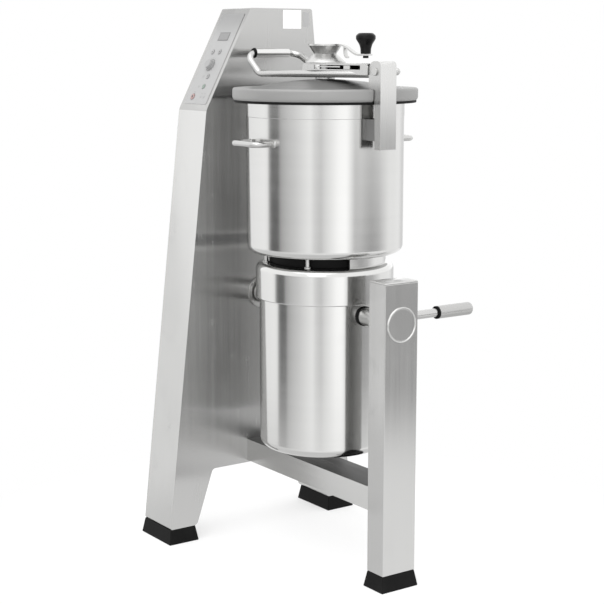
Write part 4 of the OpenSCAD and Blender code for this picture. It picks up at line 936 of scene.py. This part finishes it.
def shapeCrank(work):
    # the solid's straight fall s from the bend on becomes a smooth one, z + fall (s - (1 - cos(pi t)) / 2), where
    # t runs from 0 at the strip's start to 1 at the knob, and the hook is wider
    low, high = corner("crank_knob")
    reach = (low + high)[:2] / 2 - (axisX, axisY)
    length = np.linalg.norm(reach)
    along = np.append(reach / length, 0)
    side = np.array([-along[1], along[0], 0])
    start, end, bend = strip["start"], length - strip["short"], strip["bend"]
    above = corner("lid_hub")[1][2] - strip["below"]
    for u in np.linspace(start, end, strip["cuts"]):
        bmesh.ops.bisect_plane(work, geom=work.verts[:] + work.edges[:] + work.faces[:], dist=1e-6,
                               plane_co=(axisX + along[0] * u, axisY + along[1] * u, 0), plane_no=along.tolist())

    def change(points):
        rows = points - (axisX, axisY, 0)
        u, v, onStrip = rows @ along, rows @ side, points[:, 2] > above
        t = np.clip((u - start) / (end - start), 0, 1)
        straight = np.clip((u - bend) / (end - bend), 0, 1)
        drop = strip["fall"] * (straight - (1 - np.cos(np.pi * t)) / 2)
        points[:, 2] += np.where((u > start) & (u < end) & onStrip, drop, 0)
        hook = (u > strip["hookFrom"]) & (u < strip["hookTo"]) & onStrip
        hook &= np.abs(np.abs(v) - strip["hookHalf"]) < strip["hookNear"]
        return points + side * np.where(hook, v * strip["hookWider"], 0)[:, None]

    moved(work, change)


# edge is how far sharp edges are rounded, in steps facets; where picks the faces that wear the second finishes
edges = {
    "column_shell": {"edge": 0.0026, "steps": 4, "second": ["columnFacePaintedShade", "slopeSteel"], "where": columnFace},
    "column_side_cover": {"edge": 0.0006, "steps": 2}, "column_bearing": {"edge": 0.0006, "shape": shapeFlange},
    "support_post": {"edge": 0.0028, "steps": 4}, "post_cap": {"edge": 0.0008},
    "base_beam": {"edge": 0.0028, "steps": 4, "second": ["beamTopPaintedShade"], "where": beamTop},
    "front_foot": {"edge": 0.0025}, "rear_foot": {"edge": 0.0025}, "post_foot": {"edge": 0.0025},
    "lid_bracket": {"edge": 0.0009, "second": ["shadeSteel"], "where": insideBracket},
    "lid_bridge": {"edge": 0.0009, "second": ["slotShade"], "where": insideBridge},
    "lid_rim": {"edge": 0.0, "shape": shapeRim}, "lid_hub": {"edge": 0.0008}, "hinge_pin": {"edge": 0.0005},
    "crank": {"edge": 0.0006, "second": ["blackPlastic"], "where": crankNut, "shape": shapeCrank},
    "bowl_seat_ring": {"edge": 0.0015}, "bowl_pegs": {"edge": 0.0006}, "knife_blades": {"edge": 0.0},
    "control_plate": {"edge": 0.0002}, "display_window": {"edge": 0.0003, "shape": shapeDisplay},
    "speed_knob": {"edge": 0.0005}, "signal_lenses": {"edge": 0.0004},
    "label_large": {"edge": 0.0001}, "label_small": {"edge": 0.0001}, "cover_screws": {"edge": 0.0006},
    "cable_gland": {"edge": 0.0008}, "drive_shaft": {"edge": 0.0005}}

makeBowl()
makeHandles()
makeMotor()
makeLid()
makeLidHandle()
makeCrankKnob()
makeLever()
makePivotDisc()
makeLockBlock()
makeTrunnionSeals()
makePanelPrint()
makeBridgeInside()
report("turned and bent pieces made")

for node in sorted(nodes):
    if not nodes[node].hide_render:
        softened(node, edges.get(node, {"edge": 0.0004, "steps": 2}))
report("sheet pieces softened")

scene = bpy.context.scene
view = {"place": (2.9899, -2.1422, 1.2963), "pitch": 80.13, "heading": 54.81, "lens": 86.86}
camera = bpy.data.objects.new("photographer", bpy.data.cameras.new("photographer"))
camera.location = view["place"]
camera.rotation_euler = (math.radians(view["pitch"]), 0, math.radians(view["heading"]))
camera.data.lens = view["lens"]
camera.data.sensor_width = 36
camera.data.clip_end = 200
scene.collection.objects.link(camera)
scene.camera = camera
scene.view_settings.view_transform = "Standard"

# what the steel sees all round it, as (degrees from +X towards +Y, brightness): wide soft panels and dark cards
studio = {
    "walls": [
        (-180, 1.16), (-160, 1.33), (-135, 1.45), (-128, 1.38), (-123, 0.36), (-118, 0.17), (-108, 0.17),
        (-103, 0.58), (-95, 0.75), (-80, 0.99), (-65, 1.28), (-57, 1.42), (-51, 1.09), (-42, 0.90), (-36, 1.16),
        (-26, 1.45), (-16, 1.74), (-5, 1.81), (2, 1.45), (8, 1.02), (18, 1.22), (28, 1.10), (36, 1.07),
        (45, 1.15), (55, 1.28), (75, 1.33), (100, 1.30), (118, 0.87), (140, 0.87), (165, 1.09), (180, 1.16)],
    # shares of the wall's brightness low down, and of the floor's, by the same angle
    "lowShare": [(-180, 1.0), (-5, 1.0), (10, 0.74), (20, 0.54), (36, 0.40), (50, 0.50), (70, 1.0), (180, 1.0)],
    "floorShare": [(-180, 0.74), (-110, 0.78), (-60, 1.0), (60, 1.0), (120, 0.9), (180, 0.74)],
    # the brightness of the floor, of what lies under it and of the sky, and the degrees of height where each ends
    "floor": 1.34, "under": 0.95, "sky": 1.5, "underFrom": -40, "underTo": -26, "floorFrom": -16.0,
    "floorTo": -13.4, "lowFrom": -9, "lowTo": -2, "skyFrom": -1.4, "skyTo": 1.0}


def makeStudio():
    world = bpy.data.worlds.new("studio")
    scene.world = world
    f = Finish(world)
    ray = f.add("ShaderNodeTexCoord", out="Generated")
    parts = f.add("ShaderNodeSeparateXYZ", {}, {0: ray})
    x, y, z = (Wire(f, parts.socket.node.outputs[i]) for i in range(3))
    turn = f.math("ARCTAN2", y, x) / (2 * math.pi) + 0.5

    def aroundBy(stops):
        return f.add("ShaderNodeValToRGB", {"stops": [((a + 180) / 360, value) for a, value in stops]}, {0: turn})

    def risen(key):
        return f.smooth(z, *(math.sin(math.radians(studio[key + end])) for end in ("From", "To")))

    walls, floor = aroundBy(studio["walls"]), aroundBy(studio["floorShare"]) * studio["floor"]
    low = walls * aroundBy(studio["lowShare"])
    below, around = f.blend(risen("under"), tone(studio["under"]), floor), f.blend(risen("low"), low, walls)
    seen = f.blend(risen("sky"), f.blend(risen("floor"), below, around), tone(studio["sky"]))
    path = f.add("ShaderNodeLightPath")
    camera = Wire(f, path.socket.node.outputs["Is Camera Ray"])
    light = f.add("ShaderNodeBackground", {}, {"Color": f.blend(camera, seen, tone(1.0)), "Strength": 1.0})
    f.add("ShaderNodeOutputWorld", {}, {"Surface": light})


lamps = {"softTop": {"place": (0.6, -1.2, 4.2), "aim": (0, 0, 0.7), "size": 4.0, "power": 50},
         "softFront": {"place": (3.0, -3.4, 2.6), "aim": (0, 0, 0.8), "size": 2.5, "power": 20}}


def makeLamp(name, look):
    data = bpy.data.lights.new(name, "AREA")
    data.shape = "DISK"
    data.size = look["size"]
    data.energy = look["power"]
    lamp = bpy.data.objects.new(name, data)
    lamp.location = look["place"]
    back = unit(np.array(look["place"], float) - look["aim"])
    right = unit(np.cross((0, 0, 1), back))
    lamp.rotation_euler = Matrix(np.stack([right, np.cross(back, right), back], 1).tolist()).to_euler()
    scene.collection.objects.link(lamp)


# the camera sees the floor turn white between two distances from the middle, and the shadow by the feet stays
floorLook = {"shade": 0.9, "roughness": 0.3, "whiteNear": 0.55, "from": 0.35, "to": 1.0,
             "rings": [0.0, 0.5, 1, 2, 4, 8, 14], "segments": 96}


def makeFloor():
    a = np.linspace(0, 2 * np.pi, floorLook["segments"], endpoint=False)
    radii = np.array(floorLook["rings"])
    points = np.stack([np.outer(radii, np.cos(a)), np.outer(radii, np.sin(a)), np.zeros((len(radii), len(a)))], -1)
    floor = meshPiece("paleFloor", points, gridFaces(len(radii), len(a), False, True)[:, ::-1], recalculate=False)
    f = newFinish("paleFloor")
    place = f.add("ShaderNodeTexCoord", out="Object")
    away = f.math("SQRT", f.add("ShaderNodeVectorMath", {"operation": "DOT_PRODUCT"}, {0: place, 1: place}, 1))
    path = f.add("ShaderNodeLightPath")
    camera = Wire(f, path.socket.node.outputs["Is Camera Ray"])
    shade = tone(floorLook["shade"])
    diffuse = f.add("ShaderNodeBsdfDiffuse", {}, {"Color": shade, "Roughness": floorLook["roughness"]})
    white = f.add("ShaderNodeEmission", {}, {"Color": tone(1.0), "Strength": 1.0})
    near, farther = floorLook["whiteNear"], f.smooth(away, floorLook["from"], floorLook["to"])
    share = camera * (near + farther * (1 - near))
    mixed = f.add("ShaderNodeMixShader", {}, {0: share, 1: diffuse, 2: white})
    f.add("ShaderNodeOutputMaterial", {}, {"Surface": mixed})
    floor.data.materials.append(f.owner)
    floor.visible_glossy = False


makeStudio()
makeFloor()
for name, look in lamps.items():
    makeLamp(name, look)
report("studio made")

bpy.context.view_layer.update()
report("sizes written")
